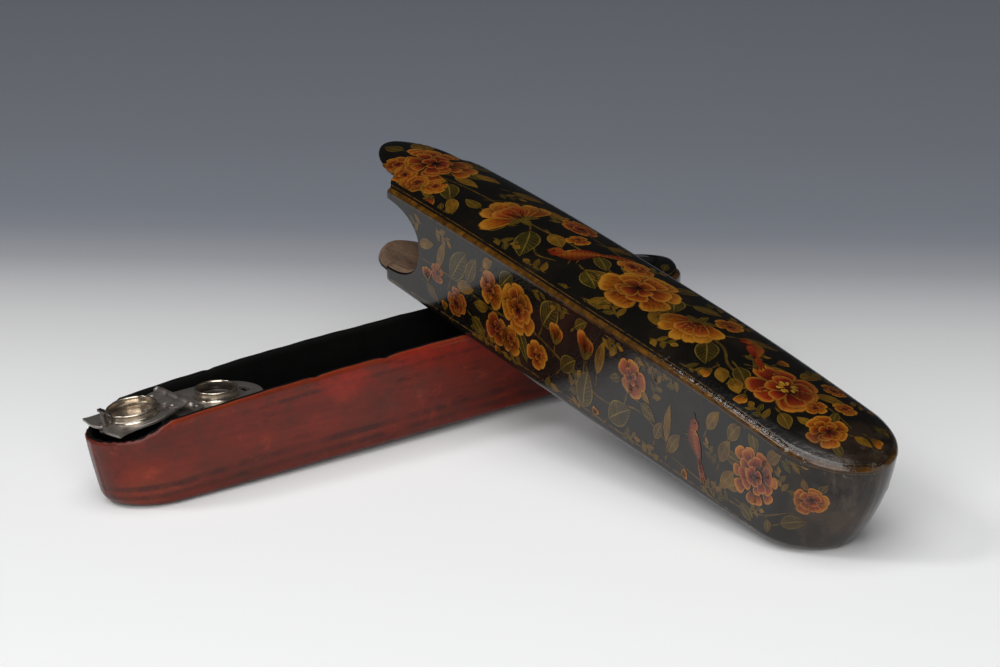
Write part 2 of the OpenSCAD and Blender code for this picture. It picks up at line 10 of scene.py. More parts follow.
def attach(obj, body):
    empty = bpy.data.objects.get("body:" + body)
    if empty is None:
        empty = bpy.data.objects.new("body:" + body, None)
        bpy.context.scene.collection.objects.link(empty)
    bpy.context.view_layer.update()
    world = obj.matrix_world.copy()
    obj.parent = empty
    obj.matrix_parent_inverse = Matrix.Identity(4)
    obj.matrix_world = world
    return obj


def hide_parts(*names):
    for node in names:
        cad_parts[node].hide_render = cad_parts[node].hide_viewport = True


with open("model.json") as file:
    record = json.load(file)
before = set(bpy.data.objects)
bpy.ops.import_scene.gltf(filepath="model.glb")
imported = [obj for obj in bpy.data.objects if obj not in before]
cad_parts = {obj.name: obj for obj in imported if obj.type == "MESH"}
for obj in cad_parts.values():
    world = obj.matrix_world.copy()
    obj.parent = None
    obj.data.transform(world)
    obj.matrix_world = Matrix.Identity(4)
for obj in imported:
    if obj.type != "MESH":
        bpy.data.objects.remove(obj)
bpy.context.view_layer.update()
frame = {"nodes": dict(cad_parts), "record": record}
record = frame["record"]
nodes = frame["nodes"]
scene = bpy.context.scene
scene.view_settings.view_transform = "Standard"
MM = 0.001

# Sizes of the box in millimetres, in its closed frame: x along, y across, z up
BOX_LEN, CASE_W, SIDE_H, CROWN_H = 238.0, 38.0, 34.0, 4.1
END_DROOP, DROOP_LEN, SIDE_BOW = 3.8, 98.0, 1.2
END_ROUND, SIDE_FLARE, END_RAKE, RAKE_POWER = 22.0, 2.6, 10.8, 2.0
HEAD_RAKE, END_ROOM, PLAIN_FADE, HEAD_FADE = 4.0, 22.0, 2.0, 0.6
DRAWER_RAKE, DRAWER_POWER = 4.4, 1.35
DRAWER_LEN = BOX_LEN - END_ROOM
CASE_T, TRAY_T, HEAD_T, FIT_T = 2.4, 2.2, 2.6, 3.0
HEAD_LEN, MOUTH_GAP = 30.0, 0.4
TONGUE_W, TONGUE_LEN, TONGUE_ROOT = 26.0, 24.5, 1.5
BITE_DEPTH, BITE_H, BITE_DROP, WAVE_POWER = 19.5, 24.0, 3.2, 2.3
HORN_ROUND, LIP_ROUND = 2.2, 1.0
TIP_SHARE = 0.06
CHIP_DEPTH, CHIP_LEN = 3.2, 18.0
HINGE_X, AXIS_Z, PLATE_Z, FLOOR_Z = 32.0, 29.7, 26.9, 5.2
LID_DROOP = math.radians(6.5)
CROSS_ANGLE = math.radians(90.5)
TOP_ROUND, UNDER_ROUND, RIM_ROUND = 1.3, 1.8, 0.5


# Form of the box
def edge_z(x, span=BOX_LEN):
    """Height of the side's upper edge, which droops towards both ends."""
    d = np.minimum(x, span - x)
    return SIDE_H - END_DROOP * np.clip(1 - d / DROOP_LEN, 0, None) ** 2


def end_share(d, a):
    """Share of the full width at distance d from a round end of length a."""
    return np.sqrt(np.clip(1 - (1 - np.clip(d / a, 0, 1)) ** 2, 0, 1))


def half_w(s, off=0.0, span=BOX_LEN):
    """Half width at distance s from the tip, on the form that lies off inside."""
    n = span - 2 * off
    a = END_ROUND - off
    t = 2 * s / n - 1
    ends = np.maximum(TIP_SHARE, end_share(s, a) * end_share(n - s, a))
    return (CASE_W / 2 - off - SIDE_BOW * t * t) * ends


def flare(r):
    """Width share at height share r, as the sides lean in towards the foot."""
    return 1 - SIDE_FLARE / (CASE_W / 2) * (1 - r)


def rake_x(s, r, off=0.0, span=BOX_LEN, rake=END_RAKE, power=RAKE_POWER):
    """Place along the box at distance s and height share r, as the ends lean in towards the foot."""
    n = span - 2 * off
    down = np.clip(1 - r, 0, None)
    reach = 2 * END_ROUND
    plain = rake * down ** power * np.clip(1 - s / reach, 0, None)
    return off + s + plain - HEAD_RAKE * down ** RAKE_POWER * np.clip(1 - (n - s) / reach, 0, None)


def crown(x, y):
    """Rise of the top over its edges."""
    fade = end_share(x, END_ROUND) ** PLAIN_FADE * end_share(BOX_LEN - x, END_ROUND) ** HEAD_FADE
    return CROWN_H * fade * np.clip(1 - (y / half_w(x)) ** 2, 0, 1)


# The two groups as they lie on the table, in metres in the frame's row
def turn_y(p, a):
    x, y, z = p[..., 0], p[..., 1], p[..., 2]
    return np.stack([x * math.cos(a) - z * math.sin(a), y, x * math.sin(a) + z * math.cos(a)], -1)


def turn_z(p, a):
    x, y, z = p[..., 0], p[..., 1], p[..., 2]
    return np.stack([x * math.cos(a) - y * math.sin(a), x * math.sin(a) + y * math.cos(a), z], -1)


mounts = {m["name"]: m for m in record["mounts"]}
joints = {j["name"]: j for j in record["behaviour"]["joints"]}
drawer_tilt = math.asin(mounts["tray_underside"]["axis"][0])
case_lean = math.acos(-mounts["case_underside"]["axis"][2])
stand = np.array([DRAWER_RAKE + FIT_T, 0.0, FIT_T])
hinge_row = np.array(joints["lid_hinge"]["pos_m"]) / MM


def lay_drawer_raw(p):
    return turn_y(np.asarray(p, float) - stand, drawer_tilt) + np.array([stand[0], 0, 0])


centre = lay_drawer_raw([HINGE_X, 0, AXIS_Z]) - hinge_row
case_under = np.array(mounts["case_underside"]["pos_m"]) / MM
CASE_MOUNT_X = 110.0
case_foot = case_under - turn_z(turn_y(np.array([CASE_MOUNT_X - END_RAKE, 0, 0]), case_lean), CROSS_ANGLE)


def lay_drawer(p):
    return (lay_drawer_raw(p) - centre) * MM


def lay_lid(p):
    """The open lid lies a little past level, turned about its hinge."""
    axis = np.array([HINGE_X, 0, AXIS_Z])
    return lay_drawer(turn_y(np.asarray(p, float) - axis, LID_DROOP) + axis)


def lay_head(p):
    return lay_drawer(np.asarray(p, float) - np.array([END_ROOM, 0, 0]))


def lay_case(p):
    p = np.asarray(p, float) - np.array([END_RAKE, 0, 0])
    return (turn_z(turn_y(p, case_lean), CROSS_ANGLE) + case_foot) * MM


# Mesh helpers
def linear(r, g, b):
    """Linear colour from screen values of 0 to 255."""
    return tuple((c / 255 / 12.92) if c <= 10 else ((c / 255 + 0.055) / 1.055) ** 2.4 for c in (r, g, b))


def grid_quads(rows, cols, base=0, closed=False, flip=False):
    """Faces of a grid of points, whose rows may close into rings."""
    quads = []
    for i in range(rows - 1):
        for j in range(cols if closed else cols - 1):
            k = (j + 1) % cols
            a, b = base + i * cols + j, base + i * cols + k
            quad = (a, b, b + cols, a + cols)
            quads.append(quad[::-1] if flip else quad)
    return quads


def make_piece(name, points, faces, materials, face_slots=None, uv=None, values=None, smooth=True):
    mesh = bpy.data.meshes.new(name)
    mesh.from_pydata([tuple(p) for p in points], [], [tuple(f) for f in faces])
    for m in materials:
        mesh.materials.append(m)
    if face_slots is not None:
        mesh.polygons.foreach_set("material_index", np.asarray(face_slots, dtype=np.int32))
    if smooth:
        mesh.polygons.foreach_set("use_smooth", np.ones(len(mesh.polygons), dtype=bool))
    if uv is not None:
        layer = mesh.uv_layers.new(name="UVMap")
        loops = np.zeros(len(mesh.loops), dtype=np.int32)
        mesh.loops.foreach_get("vertex_index", loops)
        layer.data.foreach_set("uv", np.asarray(uv, float)[loops].astype(np.float32).ravel())
    for key, data in (values or {}).items():
        layer = mesh.attributes.new(key, "FLOAT", "POINT")
        layer.data.foreach_set("value", np.asarray(data, dtype=np.float32))
    mesh.update()
    piece = bpy.data.objects.new(name, mesh)
    scene.collection.objects.link(piece)
    return piece


def outward(piece):
    work = bmesh.new()
    work.from_mesh(piece.data)
    bmesh.ops.remove_doubles(work, verts=work.verts, dist=1e-7)
    bmesh.ops.recalc_face_normals(work, faces=work.faces)
    work.to_mesh(piece.data)
    work.free()
    return piece


# Node helpers for the finishes
class Finish:
    def __init__(self, name):
        self.mat = bpy.data.materials.new(name)
        self.mat.use_nodes = True
        self.tree = self.mat.node_tree
        self.shader = self.tree.nodes["Principled BSDF"]
        self.coords = self.tree.nodes.new("ShaderNodeTexCoord")

    def node(self, kind, **inputs):
        made = self.tree.nodes.new(kind)
        for key, value in inputs.items():
            self.put(made.inputs[key.replace("_", " ")], value)
        return made

    def put(self, socket, value):
        if isinstance(value, bpy.types.NodeSocket):
            self.tree.links.new(value, socket)
        else:
            socket.default_value = value

    def set(self, **values):
        for key, value in values.items():
            self.put(self.shader.inputs[key.replace("_", " ")], value)

    def math(self, how, a, b=0.0):
        made = self.tree.nodes.new("ShaderNodeMath")
        made.operation = how
        self.put(made.inputs[0], a)
        self.put(made.inputs[1], b)
        return made.outputs[0]

    def attribute(self, name):
        made = self.tree.nodes.new("ShaderNodeAttribute")
        made.attribute_name = name
        return made.outputs["Fac"]

    def uv(self):
        made = self.node("ShaderNodeSeparateXYZ", Vector=self.coords.outputs["UV"])
        return made.outputs["X"], made.outputs["Y"]

    def place(self, scale=(1, 1, 1), turn=(0, 0, 0)):
        made = self.tree.nodes.new("ShaderNodeMapping")
        made.inputs["Scale"].default_value = scale
        made.inputs["Rotation"].default_value = turn
        self.put(made.inputs["Vector"], self.coords.outputs["Object"])
        return made.outputs["Vector"]

    def noise(self, scale, detail=4.0, rough=0.55, vector=None, distort=0.0):
        made = self.node("ShaderNodeTexNoise", Scale=scale, Detail=detail, Roughness=rough,
                         Distortion=distort)
        self.put(made.inputs["Vector"], vector if vector is not None else self.coords.outputs["Object"])
        return made.outputs["Fac"]

    def cracks(self, scale):
        made = self.node("ShaderNodeTexVoronoi", Scale=scale, Randomness=1.0)
        made.feature = "DISTANCE_TO_EDGE"
        self.put(made.inputs["Vector"], self.coords.outputs["Object"])
        return made.outputs["Distance"]

    def ramp(self, fac, *stops):
        made = self.tree.nodes.new("ShaderNodeValToRGB")
        band = made.color_ramp
        while len(band.elements) < len(stops):
            band.elements.new(0.5)
        for element, (at, colour) in zip(band.elements, stops):
            element.position = at
            element.color = (*colour, 1)
        self.put(made.inputs["Fac"], fac)
        return made.outputs["Color"]

    def grey(self, fac, low, high, a=0.0, b=1.0):
        made = self.node("ShaderNodeMapRange")
        made.inputs["From Min"].default_value = low
        made.inputs["From Max"].default_value = high
        made.inputs["To Min"].default_value = a
        made.inputs["To Max"].default_value = b
        self.put(made.inputs["Value"], fac)
        return made.outputs["Result"]

    def near(self, value, middle, reach):
        gap = self.math("ABSOLUTE", self.math("SUBTRACT", value, middle))
        return self.grey(gap, reach, reach * 0.5)

    def mix(self, fac, a, b, how="MIX"):
        made = self.tree.nodes.new("ShaderNodeMix")
        made.data_type = "RGBA"
        made.blend_type = how
        self.put(made.inputs["Factor"], fac)
        colour_in = [i for i in made.inputs if i.type == "RGBA"]
        for socket, value in zip(colour_in, (a, b)):
            self.put(socket, (*value, 1) if isinstance(value, tuple) else value)
        return [o for o in made.outputs if o.type == "RGBA"][0]

    def bump(self, height, strength, depth, under=None):
        made = self.node("ShaderNodeBump", Strength=strength, Distance=depth, Height=height)
        if under is not None:
            self.put(made.inputs["Normal"], under)
        return made.outputs["Normal"]


# Finishes
def black_lacquer():
    f = Finish("black_lacquer")
    along, trim = f.attribute("along"), f.attribute("trim")
    broad = f.noise(55.0, 5.0, 0.6)
    fine = f.noise(420.0, 4.0, 0.6)
    ground = f.ramp(broad, (0.3, linear(10, 9, 7)), (0.55, linear(17, 14, 10)), (0.8, linear(36, 26, 16)))
    band = f.math("MULTIPLY", f.grey(trim, -1.1, -0.8), f.grey(trim, 1.3, 1.0))
    brown = f.ramp(fine, (0.25, linear(36, 21, 5)), (0.5, linear(70, 43, 9)), (0.8, linear(110, 72, 18)))
    colour = f.mix(band, ground, brown)
    threads = f.math("MAXIMUM", f.near(trim, 1.95, 0.16), f.near(trim, -1.5, 0.16))
    colour = f.mix(f.math("MULTIPLY", threads, f.grey(fine, 0.35, 0.6)), colour, linear(92, 62, 20))
    lower = f.near(trim, -30.6, 0.3)
    colour = f.mix(f.math("MULTIPLY", lower, f.grey(fine, 0.4, 0.6)), colour, linear(88, 64, 30))
    end = f.grey(along, 17.0, 4.0)
    colour = f.mix(f.math("MULTIPLY", end, f.grey(broad, 0.42, 0.62)), colour, linear(52, 40, 30))
    scratch = f.math("MULTIPLY", f.grey(f.noise(260.0, 5.0, 0.7, f.place((1, 1, 0.18))), 0.53, 0.66), end)
    colour = f.mix(f.math("MULTIPLY", scratch, 0.35), colour, linear(84, 72, 60))
    # Pale flecks along the top edge towards the closed end: partly chipped lacquer, partly painted glints of
    # light on the crackle
    chip_and_glint_noise = f.noise(620.0, 4.0, 0.65)
    place = f.math("MULTIPLY", f.grey(along, 95.0, 50.0), f.grey(f.math("ABSOLUTE", trim), 4.0, 1.2))
    place = f.math("MULTIPLY", place, f.grey(broad, 0.46, 0.58))
    flecks_and_glints = f.math("MULTIPLY", f.grey(chip_and_glint_noise, 0.6, 0.65), place)
    colour = f.mix(flecks_and_glints, colour, linear(124, 116, 106))
    worn = f.math("MULTIPLY", f.grey(along, 80.0, 50.0), f.near(trim, 3.0, 3.2))
    crinkle = f.math("MULTIPLY", f.noise(300.0, 3.0, 0.6), worn)
    wave = f.noise(34.0, 2.0, 0.5)
    normal = f.bump(wave, 0.3, 0.0016)
    normal = f.bump(f.grey(f.cracks(700.0), 0.0, 0.05), 0.08, 0.0002, normal)
    normal = f.bump(crinkle, 0.8, 0.0006, normal)
    raised = f.math("MULTIPLY", f.math("ADD", flecks_and_glints, scratch), 2.0)
    normal = f.bump(f.math("ADD", fine, raised), 0.08, 0.0003, normal)
    f.set(Base_Color=colour, Roughness=f.grey(broad, 0.2, 0.8, 0.08, 0.18), Normal=normal)
    f.set(Specular_IOR_Level=0.3, Coat_Weight=f.grey(worn, 0.0, 1.0, 0.12, 1.0), Coat_Roughness=0.04)
    return f.mat


def raw_board():
    f = Finish("raw_board")
    fibre = f.noise(160.0, 6.0, 0.65, f.place((1, 0.35, 1)))
    spots = f.noise(900.0, 3.0, 0.5)
    colour = f.ramp(fibre, (0.25, linear(60, 44, 32)), (0.5, linear(104, 80, 60)),
                    (0.78, linear(142, 114, 90)))
    colour = f.mix(f.grey(spots, 0.62, 0.7), colour, linear(60, 44, 34))
    f.set(Base_Color=colour, Roughness=0.82, Normal=f.bump(fibre, 0.4, 0.0006))
    return f.mat


def red_lacquer():
    f = Finish("red_lacquer")
    height = f.attribute("height")
    along = f.attribute("along")
    streak = f.noise(48.0, 7.0, 0.66, f.place((0.16, 1, 1.3)), 0.5)
    broad = f.noise(24.0, 5.0, 0.62)
    patch = f.noise(70.0, 6.0, 0.68)
    fine = f.noise(520.0, 4.0, 0.65)
    colour = f.ramp(streak, (0.3, linear(70, 20, 11)), (0.45, linear(118, 34, 18)),
                    (0.58, linear(142, 44, 23)), (0.75, linear(164, 66, 36)))
    colour = f.mix(f.grey(broad, 0.5, 0.68, 0.0, 0.75), colour, linear(84, 34, 22))
    colour = f.mix(f.grey(patch, 0.52, 0.68, 0.0, 0.55), colour, linear(88, 50, 38))
    colour = f.mix(f.grey(patch, 0.44, 0.32, 0.0, 0.6), colour, linear(160, 52, 26))
    # Painted shade: the plain end darkened against the stronger lamp light there, then a painted shadow of
    # the case from along 85 onwards
    colour = f.mix(f.grey(along, 135.0, 60.0, 0.0, 0.62), colour, linear(64, 24, 16))
    colour = f.mix(f.grey(along, 85.0, 130.0, 0.0, 0.4), colour, linear(60, 16, 10))
    upper = f.math("MULTIPLY", f.grey(height, 0.6, 0.95), f.grey(along, 30.0, 80.0, 0.0, 0.7))
    colour = f.mix(f.math("MULTIPLY", upper, f.grey(patch, 0.6, 0.4)), colour, linear(140, 28, 16))
    cloud = f.noise(95.0, 9.0, 0.78, f.place((0.6, 1, 1)))
    colour = f.mix(f.grey(cloud, 0.5, 0.66, 0.0, 0.6), colour, linear(66, 32, 24))
    colour = f.mix(f.grey(cloud, 0.44, 0.3, 0.0, 0.5), colour, linear(160, 58, 32))
    waver = f.math("MULTIPLY", f.math("SUBTRACT", broad, 0.5), 0.06)
    level = f.math("ADD", height, waver)
    lines = f.math("MAXIMUM", f.near(level, 0.13, 0.04), f.near(level, 0.25, 0.045))
    upper_line = f.math("MULTIPLY", f.near(level, 0.83, 0.03), f.grey(along, 25.0, 50.0))
    lines = f.math("MAXIMUM", lines, upper_line)
    lines = f.math("MULTIPLY", lines, f.grey(f.noise(45.0, 8.0, 0.75), 0.4, 0.6, 0.0, 0.7))
    colour = f.mix(lines, colour, linear(46, 22, 17))
    rubs = f.noise(190.0, 6.0, 0.7, f.place((0.22, 1, 1)))
    marks = f.math("MULTIPLY", f.grey(rubs, 0.56, 0.68), f.grey(broad, 0.36, 0.55))
    colour = f.mix(f.math("MULTIPLY", marks, 0.75), colour, linear(46, 17, 12))
    rim = f.math("MULTIPLY", f.grey(height, 0.93, 0.985), f.grey(rubs, 0.36, 0.56))
    colour = f.mix(rim, colour, linear(118, 44, 20))
    foot = f.math("MULTIPLY", f.grey(height, 0.05, 0.01), f.grey(fine, 0.4, 0.55))
    colour = f.mix(foot, colour, linear(54, 24, 17))
    normal = f.bump(streak, 0.3, 0.0012)
    normal = f.bump(patch, 0.2, 0.0006, normal)
    normal = f.bump(fine, 0.2, 0.0003, normal)
    f.set(Base_Color=colour, Roughness=f.grey(patch, 0.3, 0.7, 0.3, 0.55), Normal=normal)
    f.set(Specular_IOR_Level=0.12, Coat_Weight=0.32, Coat_Roughness=0.1)
    return f.mat


def black_inside():
    f = Finish("black_inside")
    broad = f.noise(60.0, 5.0, 0.6)
    colour = f.ramp(broad, (0.3, linear(5, 5, 5)), (0.6, linear(11, 10, 9)), (0.85, linear(24, 20, 18)))
    normal = f.bump(f.noise(500.0), 0.25, 0.0004)
    f.set(Base_Color=colour, Roughness=0.62, Specular_IOR_Level=0.1, Normal=normal)
    return f.mat


def old_silver(name, dark, light, rough_low, rough_high, metal):
    f = Finish(name)
    broad = f.noise(150.0, 6.0, 0.65)
    fine = f.noise(1400.0, 4.0, 0.6)
    colour = f.ramp(broad, (0.3, dark), (0.52, light), (0.75, tuple(min(1, c * 1.25) for c in light)))
    colour = f.mix(f.grey(fine, 0.6, 0.72, 0.0, 0.7), colour, tuple(c * 0.5 for c in dark))
    normal = f.bump(broad, 0.25, 0.0004)
    normal = f.bump(fine, 0.12, 0.0001, normal)
    rough = f.grey(broad, 0.3, 0.7, rough_high, rough_low)
    f.set(Base_Color=colour, Metallic=metal, Roughness=rough, Normal=normal)
    return f.mat


# The old varnish dims and warms every painted colour
VARNISH = (0.54, 0.5, 0.4)


def paint(name, build):
    f = Finish(name)
    colour = f.mix(1.0, build(f), VARNISH, "MULTIPLY")
    fine = f.noise(600.0, 3.0, 0.6)
    colour = f.mix(f.grey(f.noise(80.0, 5.0, 0.65), 0.46, 0.7, 0.0, 0.6), colour, linear(34, 20, 9))
    colour = f.mix(f.grey(fine, 0.58, 0.7, 0.0, 0.45), colour, linear(36, 20, 8))
    normal = f.bump(f.noise(34.0, 2.0, 0.5), 0.3, 0.0016)
    f.set(Base_Color=colour, Roughness=0.16, Normal=f.bump(fine, 0.08, 0.0003, normal))
    f.set(Specular_IOR_Level=0.3, Coat_Weight=0.12, Coat_Roughness=0.04)
    return f.mat


def from_midrib(f, v):
    """Distance across a petal or leaf, from 0 at its middle line to 1 at its edges."""
    return f.math("ABSOLUTE", f.math("SUBTRACT", f.math("MULTIPLY", v, 2.0), 1.0))


def petal_colour(f):
    u, v = f.uv()
    tone = f.attribute("tone")
    side = from_midrib(f, v)
    sway = f.math("MULTIPLY", f.math("SUBTRACT", f.noise(300.0, 2.0), 0.5), 0.5)
    depth = f.math("ADD", u, sway)
    warm = f.ramp(depth, (0.12, linear(84, 28, 10)), (0.4, linear(142, 66, 14)), (0.66, linear(172, 100, 20)),
                  (0.92, linear(192, 130, 40)))
    red = f.ramp(depth, (0.1, linear(58, 13, 13)), (0.42, linear(108, 25, 17)), (0.7, linear(150, 50, 22)),
                 (0.95, linear(180, 88, 36)))
    colour = f.mix(tone, red, warm)
    rays = f.math("SINE", f.math("MULTIPLY", f.math("ADD", v, sway), 34.0))
    lines = f.math("MULTIPLY", f.grey(rays, 0.45, 0.9), f.grey(u, 0.95, 0.55))
    colour = f.mix(f.math("MULTIPLY", lines, 0.55), colour, linear(72, 22, 9))
    outline = f.math("MAXIMUM", f.grey(side, 0.66, 0.84), f.grey(u, 0.78, 0.92))
    colour = f.mix(f.math("MULTIPLY", outline, 0.45), colour, linear(206, 152, 56))
    rim = f.math("MAXIMUM", f.grey(side, 0.9, 0.97), f.grey(u, 0.955, 0.985))
    colour = f.mix(f.math("MULTIPLY", rim, 0.8), colour, linear(66, 28, 9))
    return f.mix(f.grey(u, 0.16, 0.0), colour, linear(44, 14, 8))


def leaf_colour(f):
    u, v = f.uv()
    tone = f.attribute("tone")
    side = from_midrib(f, v)
    green = f.ramp(f.noise(260.0, 3.0), (0.25, linear(28, 30, 9)), (0.55, linear(54, 52, 16)),
                   (0.85, linear(84, 76, 26)))
    gold = f.ramp(f.noise(260.0, 3.0), (0.25, linear(92, 62, 14)), (0.55, linear(138, 96, 24)),
                  (0.85, linear(172, 128, 44)))
    colour = f.mix(tone, green, gold)
    ribs = f.math("SINE", f.math("MULTIPLY", f.math("SUBTRACT", u, f.math("MULTIPLY", side, 0.22)), 52.0))
    colour = f.mix(f.math("MULTIPLY", f.grey(ribs, 0.78, 0.98), 0.5), colour, linear(120, 102, 42))
    colour = f.mix(f.grey(side, 0.09, 0.03), colour, linear(134, 114, 50))
    edge = f.grey(side, 0.84, 0.96)
    return f.mix(f.math("MULTIPLY", edge, 0.75), colour, linear(146, 122, 54))


def stem_colour(f):
    return f.ramp(f.noise(400.0, 3.0), (0.3, linear(58, 44, 14)), (0.6, linear(102, 80, 30)),
                  (0.85, linear(136, 106, 46)))


def bird_colour(f):
    u, v = f.uv()
    tone = f.attribute("tone")
    amber = f.ramp(v, (0.05, linear(182, 122, 42)), (0.4, linear(160, 90, 24)), (0.75, linear(112, 46, 17)),
                   (1.0, linear(64, 24, 12)))
    red = f.ramp(u, (0.1, linear(158, 64, 28)), (0.6, linear(128, 34, 18)), (1.0, linear(88, 19, 14)))
    colour = f.mix(tone, amber, red)
    bars = f.math("SINE", f.math("MULTIPLY", u, 60.0))
    return f.mix(f.math("MULTIPLY", f.grey(bars, 0.55, 0.95), 0.45), colour, linear(64, 27, 11))


def plain_colour(dark, light):
    def build(f):
        return f.ramp(f.noise(500.0, 3.0), (0.3, dark), (0.7, light))
    return build


LACQUER = black_lacquer()
BOARD = raw_board()
RED = red_lacquer()
INSIDE = black_inside()
SILVER = old_silver("grey_silver", linear(84, 79, 75), linear(148, 140, 133), 0.3, 0.5, 0.8)
# A darker copy of the silver for the catch: painted shade
SHADED_SILVER = old_silver("shaded_silver", linear(44, 40, 37), linear(104, 97, 90), 0.24, 0.45, 0.9)
# A lighter copy of the silver for the lid's dish and the rolled lips: painted sheen
LIT_SILVER = old_silver("lit_silver", linear(136, 124, 111), linear(206, 194, 177), 0.14, 0.26, 0.95)
PETAL = paint("petal_paint", petal_colour)
LEAF = paint("leaf_paint", leaf_colour)
STEM = paint("stem_paint", stem_colour)
BIRD = paint("bird_paint", bird_colour)
STAMEN = paint("stamen_paint", plain_colour(linear(176, 128, 30), linear(214, 172, 76)))
DARK = paint("dark_paint", plain_colour(linear(20, 14, 10), linear(36, 22, 14)))
PAINTS = [PETAL, LEAF, STEM, BIRD, STAMEN, DARK]
PETALS, LEAVES, STEMS, BIRDS, STAMENS, DARKS = range(len(PAINTS))


# Ring round the closed form: underside, near side, top, far side, with rounded edges
mouth_x = BOX_LEN - HEAD_LEN
tongue_share = min(0.9, TONGUE_W / 2 / float(half_w(mouth_x)))
mouth_edge = float(edge_z(mouth_x))
bite_mid = (mouth_edge - BITE_DROP - BITE_H / 2) / mouth_edge
bite_share = BITE_H / 2 / mouth_edge


def round_share(t):
    return np.clip(1 - np.clip(np.abs(t), 0, 1) ** WAVE_POWER, 0, 1) ** (1 / WAVE_POWER)


def tongue_reach(lat):
    """How far the mouth stands past its horns at a width share on top or underside."""
    a = np.abs(lat)
    tongue = TONGUE_ROOT + (TONGUE_LEN - TONGUE_ROOT) * round_share(a / tongue_share)
    u = np.clip((a - tongue_share) / (1 - tongue_share), 0, 1)
    return np.where(a <= tongue_share, tongue, TONGUE_ROOT * (1 - u * u) - HORN_ROUND * u ** 3)


def bite_reach(r):
    """How far the mouth stands past its horns at a height share on the sides."""
    bite = BITE_DEPTH * round_share((r - bite_mid) / bite_share)
    return -np.maximum(np.where(np.asarray(r) > bite_mid, HORN_ROUND, LIP_ROUND), bite)


def ring_points():
    """Points as (zone, width share, height share, inset, distance from the lower or upper edge)."""
    arcs = [math.radians(a) for a in (45, 56, 67, 78, 90)]
    lats = [-1 + (1 - tongue_share) * k / 5 for k in range(5)]
    lats += [tongue_share * math.sin(math.radians(a)) for a in range(-90, 91, 6)]
    lats += [-lat for lat in reversed(lats[:5])]
    walls = [bite_mid - bite_share - 0.04]
    walls += [bite_mid + bite_share * math.sin(math.radians(a)) for a in range(-90, 91, 9)]
    walls += [bite_mid + bite_share + 0.03]
    ring = [("under", lat, 0.0, UNDER_ROUND, 0.0) for lat in lats]
    for side in (1, -1):
        low = [("low", side, 0.0, UNDER_ROUND * (1 - math.cos(a)), UNDER_ROUND * (1 - math.sin(a)))
               for a in arcs[3::-1]]
        low += [("low", side, 0.0, UNDER_ROUND * (1 - math.sin(a)), UNDER_ROUND * (1 - math.cos(a)))
                for a in arcs[1:]]
        wall = [("wall", side, r, 0.0, 0.0) for r in walls]
        high = [("high", side, 1.0, TOP_ROUND * (1 - math.sin(a)), TOP_ROUND * (1 - math.cos(a)))
                for a in arcs[:0:-1]]
        high += [("high", side, 1.0, TOP_ROUND * (1 - math.cos(a)), TOP_ROUND * (1 - math.sin(a)))
                 for a in arcs[:4]]
        run = low + wall + high
        if side == 1:
            ring += run + [("top", lat, 1.0, TOP_ROUND, 0.0) for lat in reversed(lats)]
        else:
            ring += run[::-1]
    return ring, len(lats), len(run)


RING, LAT_COUNT, RUN_COUNT = ring_points()


def mouth_of(point):
    zone, lat, r = point[:3]
    if zone in ("under", "top"):
        return mouth_x + float(tongue_reach(lat if zone == "top" else lat * float(flare(0.0))))
    if zone == "wall":
        return mouth_x + float(bite_reach(r))
    return mouth_x - (HORN_ROUND if zone == "high" else LIP_ROUND)


def inner_s(s, inset):
    """Distance from the tip of the form drawn in by inset, for the distance s on the outside."""
    if s < END_ROUND:
        return s * (END_ROUND - inset) / END_ROUND
    if s > BOX_LEN - END_ROUND:
        return BOX_LEN - 2 * inset - (BOX_LEN - s) * (END_ROUND - inset) / END_ROUND
    return s - inset


def ring_point(point, s, off):
    """A point of the ring at distance s along the outside, on the form that lies off inside it."""
    zone, lat, r, inset, drop = point
    tight = inset * min(1.0, float(half_w(inner_s(s, off), off)) / (3 * TOP_ROUND))
    inner = off + tight
    t = inner_s(s, inner)
    low, high = off, float(edge_z(t + inner)) - off
    share, z = {"under": (0.0, low), "low": (drop / (high - low), low + drop),
                "wall": (r, low + r * (high - low))}.get(zone, (1 - drop / (high - low), high - drop))
    x = float(rake_x(t, share, inner))
    y = lat * float(half_w(t, inner)) * float(flare(share))
    if zone == "top":
        full = float(half_w(x))
        z = float(edge_z(x)) - off + float(crown(x, y * full / max(full - off, 0.1))) * (1 - off / 12)
    return (x, y, z)


def trim_of(point, s):
    """Distance over the surface from the top edge: inwards on top, negative down the side."""
    zone, lat, r, inset, drop = point
    if zone == "top":
        return (1 - abs(lat)) * (float(half_w(s)) - TOP_ROUND) + TOP_ROUND * 1.2
    if zone == "high":
        return inset - drop
    h = float(edge_z(s))
    return {"wall": -(1 - r) * h, "low": drop - h}.get(zone, -h - 2)


END_ROWS, MID_ROWS, MOUTH_ROWS, HEAD_ROWS = 22, 40, 18, 40


def end_s(i, rows, a):
    return a * (1 - math.cos(math.pi / 2 * i / rows))


def case_rows(point, back):
    """Distances from the closed end to the mouth, stopping back from the mouth's edge."""
    last = mouth_x - BITE_DEPTH - 4
    goal = mouth_of(point) - back
    rows = [end_s(i, END_ROWS, END_ROUND) for i in range(END_ROWS + 1)]
    rows += [END_ROUND + (last - END_ROUND) * (i + 1) / MID_ROWS for i in range(MID_ROWS)]
    return rows + [last + (goal - last) * (i + 1) / MOUTH_ROWS for i in range(MOUTH_ROWS)]


def head_rows(point, back):
    """Distances from the head's tip back to its wavy edge."""
    edge = mouth_of(point) + MOUTH_GAP + back
    return [BOX_LEN - (BOX_LEN - edge) * (i / (HEAD_ROWS - 1)) ** 1.9 for i in range(HEAD_ROWS)]


def ladder(ring, flip):
    """Faces that close the narrow stem of a ring at a tip."""
    lats, runs = LAT_COUNT, RUN_COUNT
    near = ring[lats:lats + runs]
    over = ring[lats + runs:2 * lats + runs]
    far = ring[2 * lats + runs:][::-1]
    faces = [[near[k], near[k + 1], far[k + 1], far[k]] for k in range(runs - 1)]
    faces += [ring[:lats] + [near[0], far[0]], [near[-1]] + over + [far[-1]]]
    return [f[::-1] if flip else f for f in faces]


